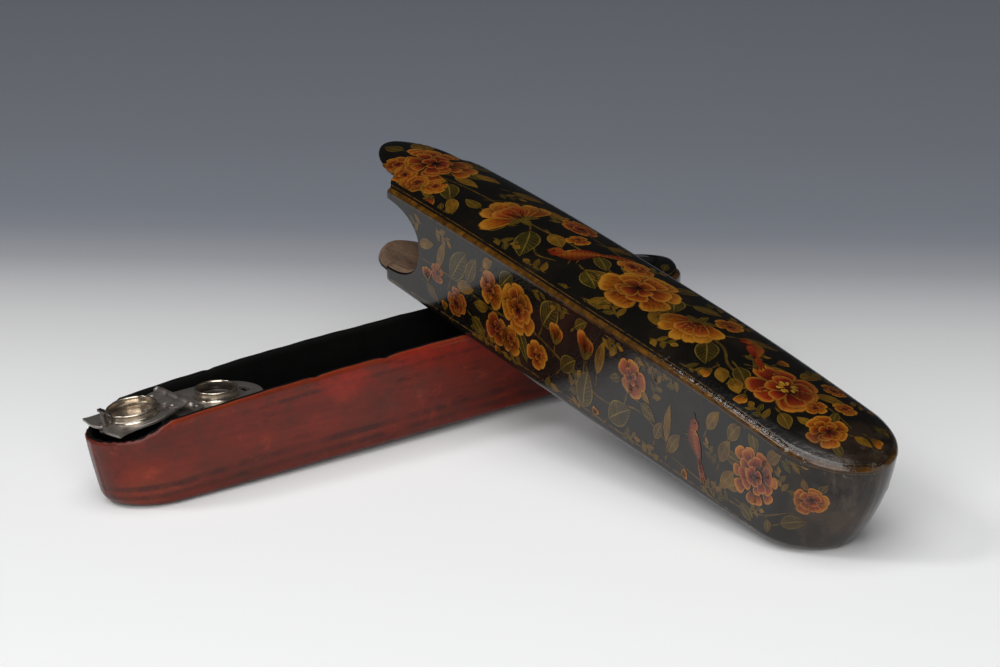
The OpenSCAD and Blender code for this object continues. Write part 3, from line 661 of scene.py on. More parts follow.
def shell(name, rows_of, inner_off, lay, flip, inside):
    """Closed-ended shell with a wavy, slightly rounded mouth."""
    cols = len(RING)
    stations = [rows_of(p, RIM_ROUND) for p in RING]
    count = len(stations[0])
    outer = [[ring_point(p, stations[j][i], 0.0) for j, p in enumerate(RING)] for i in range(count)]
    inner = [[ring_point(p, stations[j][i], inner_off) for j, p in enumerate(RING)] for i in range(count)]
    crest = (RIM_ROUND, inner_off - RIM_ROUND)
    rim = [[ring_point(p, rows_of(p, 0.0)[-1], off) for p in RING] for off in crest]
    marks = [[(stations[j][i], trim_of(p, stations[j][i])) for j, p in enumerate(RING)] for i in range(count)]
    rows = outer + rim + inner[::-1]
    values = np.array(marks + [marks[-1]] * 2 + marks[::-1]).reshape(-1, 2)
    faces = grid_quads(len(rows), cols, 0, True, flip)
    slots = [0] * (count * cols) + [1] * ((count + 1) * cols)
    first = ladder(list(range(cols)), not flip)
    last = ladder(list(range((len(rows) - 1) * cols, len(rows) * cols)), flip)
    faces += first + last
    slots += [0] * len(first) + [1] * len(last)
    return make_piece(name, lay(np.array(rows).reshape(-1, 3)), faces, [LACQUER, inside], slots,
                      values={"along": values[:, 0], "trim": values[:, 1]})


case_shell = shell("painted_case", case_rows, CASE_T, lay_case, False, BOARD)
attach(case_shell, "case")
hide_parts("case_sleeve")
head_shell = shell("painted_head", head_rows, HEAD_T, lay_head, True, INSIDE)
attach(head_shell, "drawer")
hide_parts("drawer_head")
nodes["head_deck"].data.materials.clear()
nodes["head_deck"].data.materials.append(INSIDE)


# Drawer tray: an open boat with a worn, broken rim
TRAY_END_ROWS, TRAY_MID_ROWS = 24, 84
FOOT_ROUND, OUTER_BEND, INNER_BEND = 4.0, 1.6, 1.0


def chip(s):
    """Depth of the break in the rim at the plain end."""
    return CHIP_DEPTH * min(1, max(0, 2 * (1 - s / CHIP_LEN)))


def foot_round(s, z, low):
    """How far the foot of the plain end draws back, as a quarter round that fades along the sides."""
    rise = min(FOOT_ROUND, z - low)
    back = FOOT_ROUND - math.sqrt(FOOT_ROUND ** 2 - (FOOT_ROUND - rise) ** 2)
    return back * max(0.0, 1 - s / END_ROUND)


def worn_rim(s, lat):
    """Small waves and nicks of the rim, always downwards."""
    wave = 0.05 * (math.sin(s * 0.55 + lat) + math.sin(s * 0.23 + 2 * lat) + 2)
    nick = 0.6 * math.exp(-((s - 118 - 22 * lat) / 1.6) ** 2)
    nick += 0.4 * math.exp(-((s - 62 + 9 * lat) / 1.2) ** 2)
    ragged = 0.5 * abs(math.sin(s * 1.9)) if s < CHIP_LEN + 3 else 0.0
    return wave + nick + ragged


def tray_stations(off):
    a = END_ROUND - off
    n = DRAWER_LEN - 2 * off
    rows = [end_s(i, TRAY_END_ROWS, a) for i in range(TRAY_END_ROWS + 1)]
    middle = [a + (n - 2 * a) * (i + 1) / TRAY_MID_ROWS for i in range(TRAY_MID_ROWS - 1)]
    return rows + middle + [n - r for r in reversed(rows)]


WALL_UPS = [1 - 0.055 * k for k in range(18)] + [0.05]
BENDS = [math.radians(a) for a in (0, 22, 45, 67, 90)]
FLOOR_STEPS = 12


def tray_section(s, off, low, rim_cut):
    """One section from the near rim down, across the floor and up to the far rim."""
    x = s + off
    full = float(edge_z(x, DRAWER_LEN)) - FIT_T
    width = float(half_w(s, off, DRAWER_LEN))
    soft = min(OUTER_BEND if low == FIT_T else INNER_BEND, 0.3 * width)
    runs = []
    for lat in (-1, 1):
        top = full - chip(x - FIT_T) - worn_rim(x, lat) - rim_cut
        steps = [(low + soft + up * (top - low - soft), 0.0) for up in WALL_UPS]
        steps += [(low + soft * (1 - math.sin(a)), soft * (1 - math.cos(a))) for a in BENDS]
        run = []
        for z, inset in steps:
            share = (z - low) / (full - low)
            y = lat * (width * float(flare(share)) - inset)
            x_here = float(rake_x(s, share, off, DRAWER_LEN, DRAWER_RAKE, DRAWER_POWER))
            if low == FIT_T:
                x_here += foot_round(s, z, low)
            run.append((x_here, y, z, (z - FIT_T) / (full - FIT_T)))
        runs.append(run)
    near, far = runs
    across = [k / FLOOR_STEPS for k in range(1, FLOOR_STEPS)]
    floor = [tuple(a + (b - a) * t for a, b in zip(near[-1], far[-1])) for t in across]
    return near + floor + far[::-1]


def tray_piece():
    layers = ((FIT_T, FIT_T, RIM_ROUND), (FIT_T + RIM_ROUND, FIT_T, 0.0),
              (FIT_T + TRAY_T - RIM_ROUND, FLOOR_Z, 0.0), (FIT_T + TRAY_T, FLOOR_Z, RIM_ROUND))
    outer, crest, crest_in, inner = [[tray_section(s, off, low, rim_cut) for s in tray_stations(off)]
                                     for off, low, rim_cut in layers]
    rows, cols = len(outer), len(outer[0])
    points = [p for grid in (outer, inner) for row in grid for p in row]
    faces = grid_quads(rows, cols, 0, False, True)
    slots = [0] * len(faces)
    inside = grid_quads(rows, cols, rows * cols, False, False)
    faces += inside
    slots += [1] * len(inside)
    # The rim is a closed loop of outer, two crest and inner points
    order = [(i, 0) for i in range(rows)] + [(i, cols - 1) for i in range(rows - 1, -1, -1)]
    base = len(points)
    for grid in (outer, crest, crest_in, inner):
        points += [grid[i][j] for i, j in order]
    faces += grid_quads(4, len(order), base, True, False)
    slots += [0] * len(order) + [1] * (2 * len(order))
    run = len(WALL_UPS) + len(BENDS)
    for start, slot in ((0, 0), (rows * cols, 1)):
        for row in (start, start + (rows - 1) * cols):
            near = [row + k for k in range(run)]
            far = [row + cols - 1 - k for k in range(run)]
            faces += [[near[k], near[k + 1], far[k + 1], far[k]] for k in range(run - 1)]
            faces.append([row + k for k in range(run - 1, cols - run + 1)])
            slots += [slot] * run
    flat = np.array(points)
    piece = make_piece("red_drawer", lay_drawer(flat[:, :3]), faces, [RED, INSIDE], slots,
                       values={"height": flat[:, 3], "along": flat[:, 0]})
    return outward(piece)


tray = tray_piece()
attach(tray, "drawer")
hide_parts("drawer_tray")


# Painted ornament: flat motifs in millimetres, p towards the closed end and q up in the picture
class Chart:
    """One painted face of the box, with its own painting laid a hair above the lacquer."""

    def __init__(self, name, face, lay, body, keep):
        self.name, self.face, self.lay, self.body, self.keep = name, face, lay, body, keep
        self.p_sign, self.q_sign = {"top": (-1, -1), "near": (-1, 1), "far": (1, 1)}[face]
        self.points, self.faces, self.uv, self.tone, self.slots = [], [], [], [], []
        self.count = 0

    def spot(self, s, share):
        """Where a width share of the top, or a height share of a side, lies at distance s."""
        return np.array([s, share * float(half_w(s) if self.face == "top" else edge_z(s))])

    def way(self, angle):
        """Unit step on the face along an angle of the picture."""
        turn = math.radians(angle)
        return np.array([self.p_sign * math.cos(turn), self.q_sign * math.sin(turn)])

    def surface(self, s, h):
        if self.face == "top":
            return np.stack([s, h, edge_z(s) + crown(s, h)], -1)
        r = h / edge_z(s)
        side = 1 if self.face == "near" else -1
        return np.stack([rake_x(s, r), side * half_w(s) * flare(r), h], -1)

    def put(self, s, h, faces, uv, tone, slot, lift):
        s, h = self.keep(self.face, np.asarray(s, float), np.asarray(h, float))
        step = 0.05
        across = self.surface(s + step, h) - self.surface(s - step, h)
        along = self.surface(s, h + step) - self.surface(s, h - step)
        normal = np.cross(across, along)
        normal /= np.linalg.norm(normal, axis=1)[:, None]
        if self.face == "near":
            normal = -normal
        self.points.append(self.surface(s, h) + normal * lift)
        self.faces += [tuple(i + self.count for i in f) for f in faces]
        self.uv.append(uv)
        self.tone.append(np.clip(np.broadcast_to(tone, len(s)), 0, 1))
        self.slots += [slot] * len(faces)
        self.count += len(s)

    def draw(self, at, flat, faces, uv, tone, slot, lift, angle=0.0, squash=(1, 1)):
        c, n = math.cos(angle), math.sin(angle)
        p = (flat[:, 0] * c - flat[:, 1] * n) * squash[0]
        q = (flat[:, 0] * n + flat[:, 1] * c) * squash[1]
        self.put(at[0] + self.p_sign * p, at[1] + self.q_sign * q, faces, uv, tone, slot, lift)

    def finish(self):
        piece = make_piece(self.name, self.lay(np.concatenate(self.points)), self.faces, PAINTS, self.slots,
                           uv=np.concatenate(self.uv), values={"tone": np.concatenate(self.tone)})
        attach(piece, self.body)


BORDER, LEAST_HALF, LOW_ROOM, HIGH_ROOM = 3.0, 0.4, 2.4, 2.6
EDGE_ROOM, CASE_TIP_ROOM, HEAD_TIP_ROOM = 1.2, 2.0, 1.5


def off_border(face, s, h):
    """Keeps points off the border band, and gives the place of the mouth's edge beside them."""
    if face == "top":
        limit = np.maximum(half_w(s) - BORDER, LEAST_HALF)
        h = np.clip(h, -limit, limit)
        return h, mouth_x + tongue_reach(h / half_w(s))
    h = np.clip(h, LOW_ROOM, edge_z(s) - HIGH_ROOM)
    return h, mouth_x + bite_reach(h / edge_z(s))


def keep_on_case(face, s, h):
    s = np.clip(s, CASE_TIP_ROOM, None)
    h, mouth = off_border(face, s, h)
    return np.minimum(s, mouth - EDGE_ROOM), h


def keep_on_head(face, s, h):
    s = np.clip(s, None, BOX_LEN - HEAD_TIP_ROOM)
    h, mouth = off_border(face, s, h)
    return np.maximum(s, mouth + MOUTH_GAP + EDGE_ROOM), h


# Heights of the layers of paint above the lacquer, in millimetres
LINE_LIFT, STALK_LIFT, LEAF_LIFT, PETAL_LIFT, PETAL_STEP = 0.03, 0.035, 0.045, 0.07, 0.014


PETAL_ROWS, PETAL_COLS = 6, 7


def petal_grid():
    """A petal of unit length and width along x, with a round, faintly notched tip."""
    u = np.repeat(np.linspace(0, 1, PETAL_ROWS), PETAL_COLS)
    v = np.tile(np.linspace(-1, 1, PETAL_COLS), PETAL_ROWS)
    width = (0.3 + 0.7 * np.sin(math.pi / 2 * np.minimum(1, u * 1.35))) * (1 - 0.35 * np.clip(u - 0.7, 0, 1))
    x = u * (1 - 0.2 * v * v * u) - 0.05 * u ** 4 * np.exp(-(v / 0.25) ** 2)
    return np.stack([x, 0.5 * v * width, np.zeros_like(x)], -1), u, (v + 1) / 2


def petal_ring_tree():
    """Geometry Nodes: petals set round a centre, each with its own small change of size and tone."""
    tree = bpy.data.node_groups.new("petal_ring", "GeometryNodeTree")
    tree.interface.new_socket("Flower", in_out="OUTPUT", socket_type="NodeSocketGeometry")
    kinds = {"Petal": "NodeSocketObject", "Paint": "NodeSocketMaterial", "Count": "NodeSocketInt",
             "Seed": "NodeSocketInt"}
    for name in ("Petal", "Paint", "Count", "Seed", "Inner", "Length", "Width", "Start", "Spread", "Ragged",
                 "Tone Low", "Tone High"):
        tree.interface.new_socket(name, in_out="INPUT", socket_type=kinds.get(name, "NodeSocketFloat"))
    given = tree.nodes.new("NodeGroupInput").outputs

    def node(kind, *links, **settings):
        made = tree.nodes.new(kind)
        for key, value in settings.items():
            setattr(made, key, value)
        for index, source in links:
            if isinstance(source, bpy.types.NodeSocket):
                tree.links.new(source, made.inputs[index])
            else:
                made.inputs[index].default_value = source
        return made

    def maths(how, a, b):
        return node("ShaderNodeMath", (0, a), (1, b), operation=how).outputs[0]

    def chance(low, high, shift):
        made = node("FunctionNodeRandomValue", (2, low), (3, high), data_type="FLOAT")
        tree.links.new(maths("ADD", given["Seed"], float(shift)), made.inputs["Seed"])
        return made.outputs[1]

    index = node("GeometryNodeInputIndex").outputs[0]
    share = maths("DIVIDE", index, given["Count"])
    turn = maths("ADD", given["Start"], maths("MULTIPLY", given["Spread"], share))
    turn = maths("ADD", turn, maths("MULTIPLY", given["Ragged"], chance(-1.2, 1.2, 1)))
    place = node("ShaderNodeCombineXYZ", (0, maths("MULTIPLY", given["Inner"], maths("COSINE", turn, 0.0))),
                 (1, maths("MULTIPLY", given["Inner"], maths("SINE", turn, 0.0)))).outputs[0]
    points = node("GeometryNodeMeshLine", ("Count", given["Count"]))
    moved = node("GeometryNodeSetPosition", ("Geometry", points.outputs[0]), ("Position", place))
    facing = node("FunctionNodeEulerToRotation", (0, node("ShaderNodeCombineXYZ", (2, turn)).outputs[0]))
    grow = maths("ADD", 1.0, maths("MULTIPLY", given["Ragged"], chance(-1.0, 1.0, 2)))
    size = node("ShaderNodeCombineXYZ", (0, maths("MULTIPLY", given["Length"], grow)),
                (1, maths("MULTIPLY", given["Width"], grow)), (2, 1.0))
    shape = node("GeometryNodeObjectInfo", ("Object", given["Petal"]))
    petals = node("GeometryNodeInstanceOnPoints", ("Points", moved.outputs[0]),
                  ("Instance", shape.outputs["Geometry"]), ("Rotation", facing.outputs[0]),
                  ("Scale", size.outputs[0]))
    tone = chance(given["Tone Low"], given["Tone High"], 3)
    toned = node("GeometryNodeStoreNamedAttribute", ("Geometry", petals.outputs[0]), ("Name", "tone"),
                 ("Value", tone), data_type="FLOAT", domain="INSTANCE")
    real = node("GeometryNodeRealizeInstances", ("Geometry", toned.outputs[0]))
    painted = node("GeometryNodeSetMaterial", ("Geometry", real.outputs[0]), ("Material", given["Paint"]))
    node("NodeGroupOutput", (0, painted.outputs[0]))
    return tree


PETAL_TREE = petal_ring_tree()
PETAL_KEYS = {i.name: i.identifier for i in PETAL_TREE.interface.items_tree if i.in_out == "INPUT"}
petal_points, petal_u, petal_v = petal_grid()
PETAL_SHAPE = make_piece("petal_shape", petal_points, grid_quads(PETAL_ROWS, PETAL_COLS, flip=True), [PETAL],
                         values={"u": petal_u, "v": petal_v})


def petal_ring(paint_mat, **sizes):
    """Runs the petal tree once and returns its points, faces, map and tone."""
    holder = bpy.data.objects.new("petal_ring", bpy.data.meshes.new("petal_ring"))
    scene.collection.objects.link(holder)
    ring = holder.modifiers.new("petals", "NODES")
    ring.node_group = PETAL_TREE
    ring[PETAL_KEYS["Petal"]] = PETAL_SHAPE
    ring[PETAL_KEYS["Paint"]] = paint_mat
    for key, value in sizes.items():
        ring[PETAL_KEYS[key.replace("_", " ")]] = value
    graph = bpy.context.evaluated_depsgraph_get()
    mesh = bpy.data.meshes.new_from_object(holder.evaluated_get(graph), depsgraph=graph)
    flat = np.array([v.co[:2] for v in mesh.vertices])
    read = {key: np.array([d.value for d in mesh.attributes[key].data]) for key in ("u", "v", "tone")}
    faces = [tuple(f.vertices) for f in mesh.polygons]
    bpy.data.objects.remove(holder)
    bpy.data.meshes.remove(mesh)
    return flat, faces, np.stack([read["u"], read["v"]], -1), read["tone"]


# Flowers as rings of (petals, inner radius, length, width, lowest tone, highest tone), radius 1
FLOWERS = {
    "peony": [(10, 0.5, 0.48, 0.46, 0.6, 1.0), (9, 0.34, 0.42, 0.4, 0.3, 0.9),
              (7, 0.18, 0.38, 0.36, 0.05, 0.6), (6, 0.06, 0.28, 0.26, 0.0, 0.5)],
    "rose": [(6, 0.28, 0.7, 0.8, 0.55, 1.0), (5, 0.16, 0.54, 0.6, 0.25, 0.8),
             (4, 0.04, 0.42, 0.46, 0.0, 0.5)],
    "five": [(5, 0.04, 0.96, 0.94, 0.45, 1.0), (4, 0.04, 0.4, 0.34, 0.1, 0.5)],
    "open": [(7, 0.08, 0.92, 0.72, 0.1, 0.7), (6, 0.05, 0.6, 0.5, 0.0, 0.5)],
}
dice = np.random.default_rng(11)


def flower(chart, s, share, radius, kind, turn=0.0, squash=(1, 1), shift=0.0, stamens=0):
    at = chart.spot(s, share)
    lift = PETAL_LIFT
    for count, inner, length, width, low, high in FLOWERS[kind]:
        flat, faces, uv, tone = petal_ring(
            PETAL, Count=count, Seed=int(dice.integers(1000)), Inner=inner * radius, Length=length * radius,
            Width=width * radius, Start=math.radians(turn) + float(dice.uniform(0, 0.5)), Spread=2 * math.pi,
            Ragged=0.16, Tone_Low=low, Tone_High=high)
        flat = flat + (1 - inner) * 0.12 * radius * dice.uniform(-1, 1, 2)
        chart.draw(at, flat, faces, uv, tone + shift, PETALS, lift, squash=squash)
        lift += PETAL_STEP
    if stamens:
        flat, faces, uv, tone = petal_ring(
            STAMEN, Count=stamens, Seed=int(dice.integers(1000)), Inner=0.1 * radius, Length=0.16 * radius,
            Width=0.09 * radius, Start=0.0, Spread=2 * math.pi, Ragged=0.3, Tone_Low=0.5, Tone_High=1.0)
        chart.draw(at, flat, faces, uv, tone, STAMENS, lift, squash=squash)


def fan(chart, s, share, length, angle, petals, spread, width, low, high, lift=0.08):
    """Petals opened to one side, as in a bud or a half-open flower."""
    start = math.radians(angle - spread / 2 * (petals - 1) / petals)
    flat, faces, uv, tone = petal_ring(
        PETAL, Count=petals, Seed=int(dice.integers(1000)), Inner=0.0, Length=length, Width=width,
        Start=start, Spread=math.radians(spread), Ragged=0.08, Tone_Low=low, Tone_High=high)
    chart.draw(chart.spot(s, share), flat, faces, uv, tone, PETALS, lift)


LEAF_ROWS, LEAF_COLS = 10, 5
leaf_u = np.repeat(np.linspace(0, 1, LEAF_ROWS), LEAF_COLS)
leaf_v = np.tile(np.linspace(-1, 1, LEAF_COLS), LEAF_ROWS)
LEAF_FACES = grid_quads(LEAF_ROWS, LEAF_COLS, flip=True)
LEAF_UV = np.stack([leaf_u, (leaf_v + 1) / 2], -1)


def blade(chart, at, length, width, angle, tone, slot=LEAVES, lift=LEAF_LIFT, bend=0.12, belly=0.85):
    half = 0.5 * width * np.sin(math.pi * leaf_u ** belly) ** 0.9
    flat = np.stack([leaf_u * length, leaf_v * half + bend * length * leaf_u * (1 - leaf_u)], -1)
    chart.draw(at, flat, LEAF_FACES, LEAF_UV, tone, slot, lift, angle=math.radians(angle))


def leaf(chart, s0, share0, s1, share1, width, tone, bend=0.12):
    """A leaf from its stalk to its tip, with a short stalk behind it."""
    a, b = chart.spot(s0, share0), chart.spot(s1, share1)
    p, q = (b[0] - a[0]) * chart.p_sign, (b[1] - a[1]) * chart.q_sign
    length, angle = math.hypot(p, q), math.degrees(math.atan2(q, p))
    lift = LEAF_LIFT + 0.004 * float(dice.uniform(0, 3))
    blade(chart, a, length, width, angle, tone, bend=bend, lift=lift)
    blade(chart, a, length * 0.4, 0.7, angle + 190, 0.5, slot=STEMS, lift=STALK_LIFT)


def stem(chart, *spots, width=0.7):
    """A curved stalk through (distance, share) spots, thinner at its ends."""
    knots = np.array([chart.spot(s, share) for s, share in spots])
    knots = np.concatenate([2 * knots[:1] - knots[1:2], knots, 2 * knots[-1:] - knots[-2:-1]])
    line = []
    for k in range(1, len(knots) - 2):
        for t in np.linspace(0, 1, 9)[:-1]:
            a, b, c, d = knots[k - 1:k + 3]
            line.append(0.5 * (2 * b + (c - a) * t + (2 * a - 5 * b + 4 * c - d) * t * t
                               + (3 * b - a - 3 * c + d) * t ** 3))
    line = np.array(line + [knots[-2]])
    way = np.gradient(line, axis=0)
    way /= np.linalg.norm(way, axis=1)[:, None]
    u = np.linspace(0, 1, len(line))
    half = 0.5 * width * (0.45 + 0.55 * np.sin(math.pi * u))
    side = np.stack([-way[:, 1], way[:, 0]], -1) * half[:, None] * (chart.p_sign * chart.q_sign)
    rows = np.stack([line - side, line + side], 1).reshape(-1, 2)
    uv = np.stack([np.repeat(u, 2), np.tile([0.0, 1.0], len(line))], -1)
    faces = grid_quads(len(line), 2, flip=True)
    chart.put(rows[:, 0], rows[:, 1], faces, uv, 0.5, STEMS, LINE_LIFT)


def bird(chart, s, share, length, angle, red, flip=1):
    """A small bird: tail, legs, body, wing, head, beak and eye, heading along angle."""
    at = chart.spot(s, share)
    turn = math.radians(angle)

    def part(x, y, size, width, heading, tone, slot=BIRDS, lift=0.1, bend=0.0, belly=0.85):
        y *= flip
        p, q = x * math.cos(turn) - y * math.sin(turn), x * math.sin(turn) + y * math.cos(turn)
        spot = at + np.array([chart.p_sign * p, chart.q_sign * q]) * length
        heading = angle + flip * heading
        blade(chart, spot, size * length, width * length, heading, tone, slot, lift, bend * flip, belly)

    for spread in (-7, 0, 7):
        part(-0.3, 0.02, 0.75, 0.08, 180 + spread, red + 0.35, lift=0.085)
    for shift in (-0.06, 0.08):
        part(shift, -0.1, 0.26, 0.03, -70, 0.5, slot=STEMS, lift=0.08)
    part(-0.45, 0.0, 0.82, 0.4, 0, red, bend=-0.08, belly=1.2, lift=0.1)
    part(0.14, 0.08, 0.64, 0.19, 182, red + 0.5, bend=-0.12, belly=0.65, lift=0.115)
    part(0.2, 0.06, 0.33, 0.28, 24, 0.7, belly=0.95, lift=0.12)
    part(0.48, 0.19, 0.15, 0.06, 4, 0.5, slot=DARKS, lift=0.11)
    part(0.36, 0.16, 0.05, 0.05, 0, 0.5, slot=DARKS, lift=0.135)


def bud(chart, s, share, length, angle, low=0.1, high=0.5):
    """A closed bud between two narrow sepals."""
    at = chart.spot(s, share)
    fan(chart, s, share, length, angle, 3, 66, 0.5 * length, low, high)
    for side in (-1, 1):
        blade(chart, at, 0.62 * length, 0.2 * length, angle + side * 38, 0.3, bend=-side * 0.2, lift=0.11)
    blade(chart, at, 0.7 * length, 0.6, angle + 180, 0.5, slot=STEMS, lift=STALK_LIFT)


def open_to_side(chart, s, share, length, angle, low, high):
    """A half-open flower seen from the side."""
    fan(chart, s, share, length, angle, 6, 170, 0.5 * length, low, high)
    fan(chart, s, share, 0.72 * length, angle, 4, 90, 0.42 * length, 0.0, 0.35, lift=0.1)
    at = chart.spot(s, share)
    for side in (-70, 0, 70):
        blade(chart, at, 0.45 * length, 0.2 * length, angle + 180 + side, 0.25, lift=0.11)


def small_leaves(chart, s, share, radius, angles):
    """Leaves that show from under a flower, in two tones by turns."""
    at = chart.spot(s, share)
    for k, angle in enumerate(angles):
        spot = at + 0.7 * radius * chart.way(angle)
        tone = 0.15 + 0.5 * (k % 2)
        blade(chart, spot, 0.85 * radius, 0.42 * radius, angle + 8 * (-1) ** k, tone, bend=0.1)


def sprig(chart, s, share, size, angle):
    """A short twig with paired leaves and a small bud at its end."""
    at = chart.spot(s, share)
    way = chart.way(angle)
    blade(chart, at, size, 0.7, angle, 0.5, slot=STEMS, lift=STALK_LIFT, bend=0.05)
    for k, side in ((0.15, -1), (0.35, 1), (0.55, -1), (0.75, 1)):
        length = size * (0.55 - 0.2 * k)
        tone = float(dice.uniform(0, 0.8))
        blade(chart, at + way * size * k, length, 0.48 * length, angle + side * 48, tone, bend=-side * 0.15)
    blade(chart, at + way * size * 0.9, 0.35 * size, 0.22 * size, angle, 1.0, lift=0.055)


def paint_top(c):
    for row in ((200, -0.62, 9, 150), (178, -0.15, 8, 30), (176, 0.8, 9, 190), (156, 0.78, 9, 10),
                (154, -0.2, 8, 100), (129, 0.8, 9, 180), (134, -0.75, 8, 20), (110, -0.8, 9, 200),
                (112, 0.82, 9, 10), (95, 0.78, 9, 160), (92, -0.72, 9, 20), (82, 0.78, 8, 20),
                (70, -0.68, 9, 170), (67, 0.85, 8, 10), (58, 0.05, 7, 60), (47, -0.68, 8, 20),
                (30, 0.8, 8, 170), (28, -0.72, 7, 10), (14, -0.55, 6, 40), (118, 0.75, 8, 240)):
        sprig(c, *row)
    stem(c, (203, 0.3), (186, 0.15), (168, 0.1), (152, 0.1), (136, 0.0), (118, 0.05), (100, 0.2), (84, 0.15),
         (66, 0.1), (57, 0.35), (50, 0.4), (44, 0.3), (30, -0.1), (14, -0.1), width=0.9)
    stem(c, (176, 0.2), (164, -0.4), (148, -0.5), (130, -0.5), (116, -0.4))
    stem(c, (146, 0.4), (139, 0.6), (132, 0.5))
    small_leaves(c, 207, 0.05, 14, (20, -35, -75, 160, 60))
    flower(c, 207, 0.0, 13.5, "peony", 10, squash=(1.1, 0.95), shift=-0.2)
    for s, share, size in ((207, 0.62, 4.5), (200, 0.62, 5), (193, 0.5, 4.5), (214, 0.5, 4.5)):
        flower(c, s, share, size, "rose", 40)
    for row in ((194, -0.35, 185, -0.5, 4.5, 0.9), (195, 0.05, 184, 0.0, 4, 1.0),
                (192, 0.3, 183, 0.6, 6, 0.1), (184, 0.55, 176, 0.8, 4, 0.9),
                (218, -0.3, 224, -0.55, 5, 0.8), (221, 0.1, 228, 0.25, 5, 0.2),
                (178, -0.45, 168, -0.7, 5, 0.5), (164, -0.3, 154, -0.62, 5, 0.95),
                (172, 0.4, 180, 0.4, 3.5, 0.3), (151, 0.25, 142, 0.8, 8, 0.0),
                (146, 0.05, 137, 0.2, 5.5, 0.95), (158, 0.45, 164, 0.75, 4, 0.4),
                (127, -0.1, 118, 0.1, 5, 0.1), (122, 0.35, 112, 0.55, 6.5, 0.05),
                (133, -0.5, 126, -0.75, 4, 0.7), (96, -0.25, 87, 0.1, 7, 0.05),
                (92, 0.3, 84, 0.5, 4.5, 0.95), (89, -0.35, 81, -0.6, 5, 0.3),
                (70, 0.2, 61, 0.6, 7, 0.05), (67, -0.3, 58, -0.7, 4, 0.35), (57, 0.5, 51, 0.7, 4, 0.95),
                (54, 0.3, 46, 0.5, 5, 0.1), (50, 0.05, 44, -0.3, 4, 0.9), (51, 0.55, 44, 0.7, 4, 1.0),
                (30, 0.55, 23, 0.7, 4, 0.4), (27, -0.3, 19, -0.45, 4, 0.9), (11, 0.0, 6, -0.2, 3, 0.9)):
        leaf(c, *row)
    open_to_side(c, 159, 0.12, 13, 172, 0.7, 1.0)
    bud(c, 190, 0.7, 6, -60)
    flower(c, 147, -0.55, 7, "rose", 0, squash=(1.1, 0.75), shift=-0.25)
    flower(c, 139, -0.2, 3.8, "five", 10, shift=0.3)
    bird(c, 131, 0.15, 17, 235, 0.1, flip=-1)
    flower(c, 117, -0.4, 6.5, "rose", 30, squash=(1.1, 0.8))
    small_leaves(c, 103, 0.05, 13, (-20, -100, 150, 200, 70))
    flower(c, 103, 0.05, 12.5, "rose", 70, squash=(1.15, 0.9), shift=0.1)
    open_to_side(c, 79, -0.05, 12, -70, 0.7, 1.0)
    flower(c, 74, -0.45, 5, "five", 20)
    bird(c, 60, -0.3, 13, 150, 0.55)
    for s, share, angle in ((58, 0.6, -90), (50, -0.3, 90), (43, 0.65, -60), (52, 0.1, 30)):
        bud(c, s, share, 4, angle, 0.7, 1.0)
    small_leaves(c, 38, 0.05, 11, (170, 110, -140, 40))
    flower(c, 38, 0.05, 11.5, "open", 15, squash=(1.1, 0.9), shift=-0.4, stamens=11)
    flower(c, 26, 0.05, 3.6, "five", 0)
    flower(c, 23, -0.35, 3.6, "five", 40)
    small_leaves(c, 16, 0.3, 6.5, (120, 200, -20))
    flower(c, 16, 0.3, 7, "rose", 20, shift=-0.1)
    flower(c, 33, -0.65, 4, "rose", 20)
    bud(c, 9, -0.3, 4, 20, 0.4, 0.8)


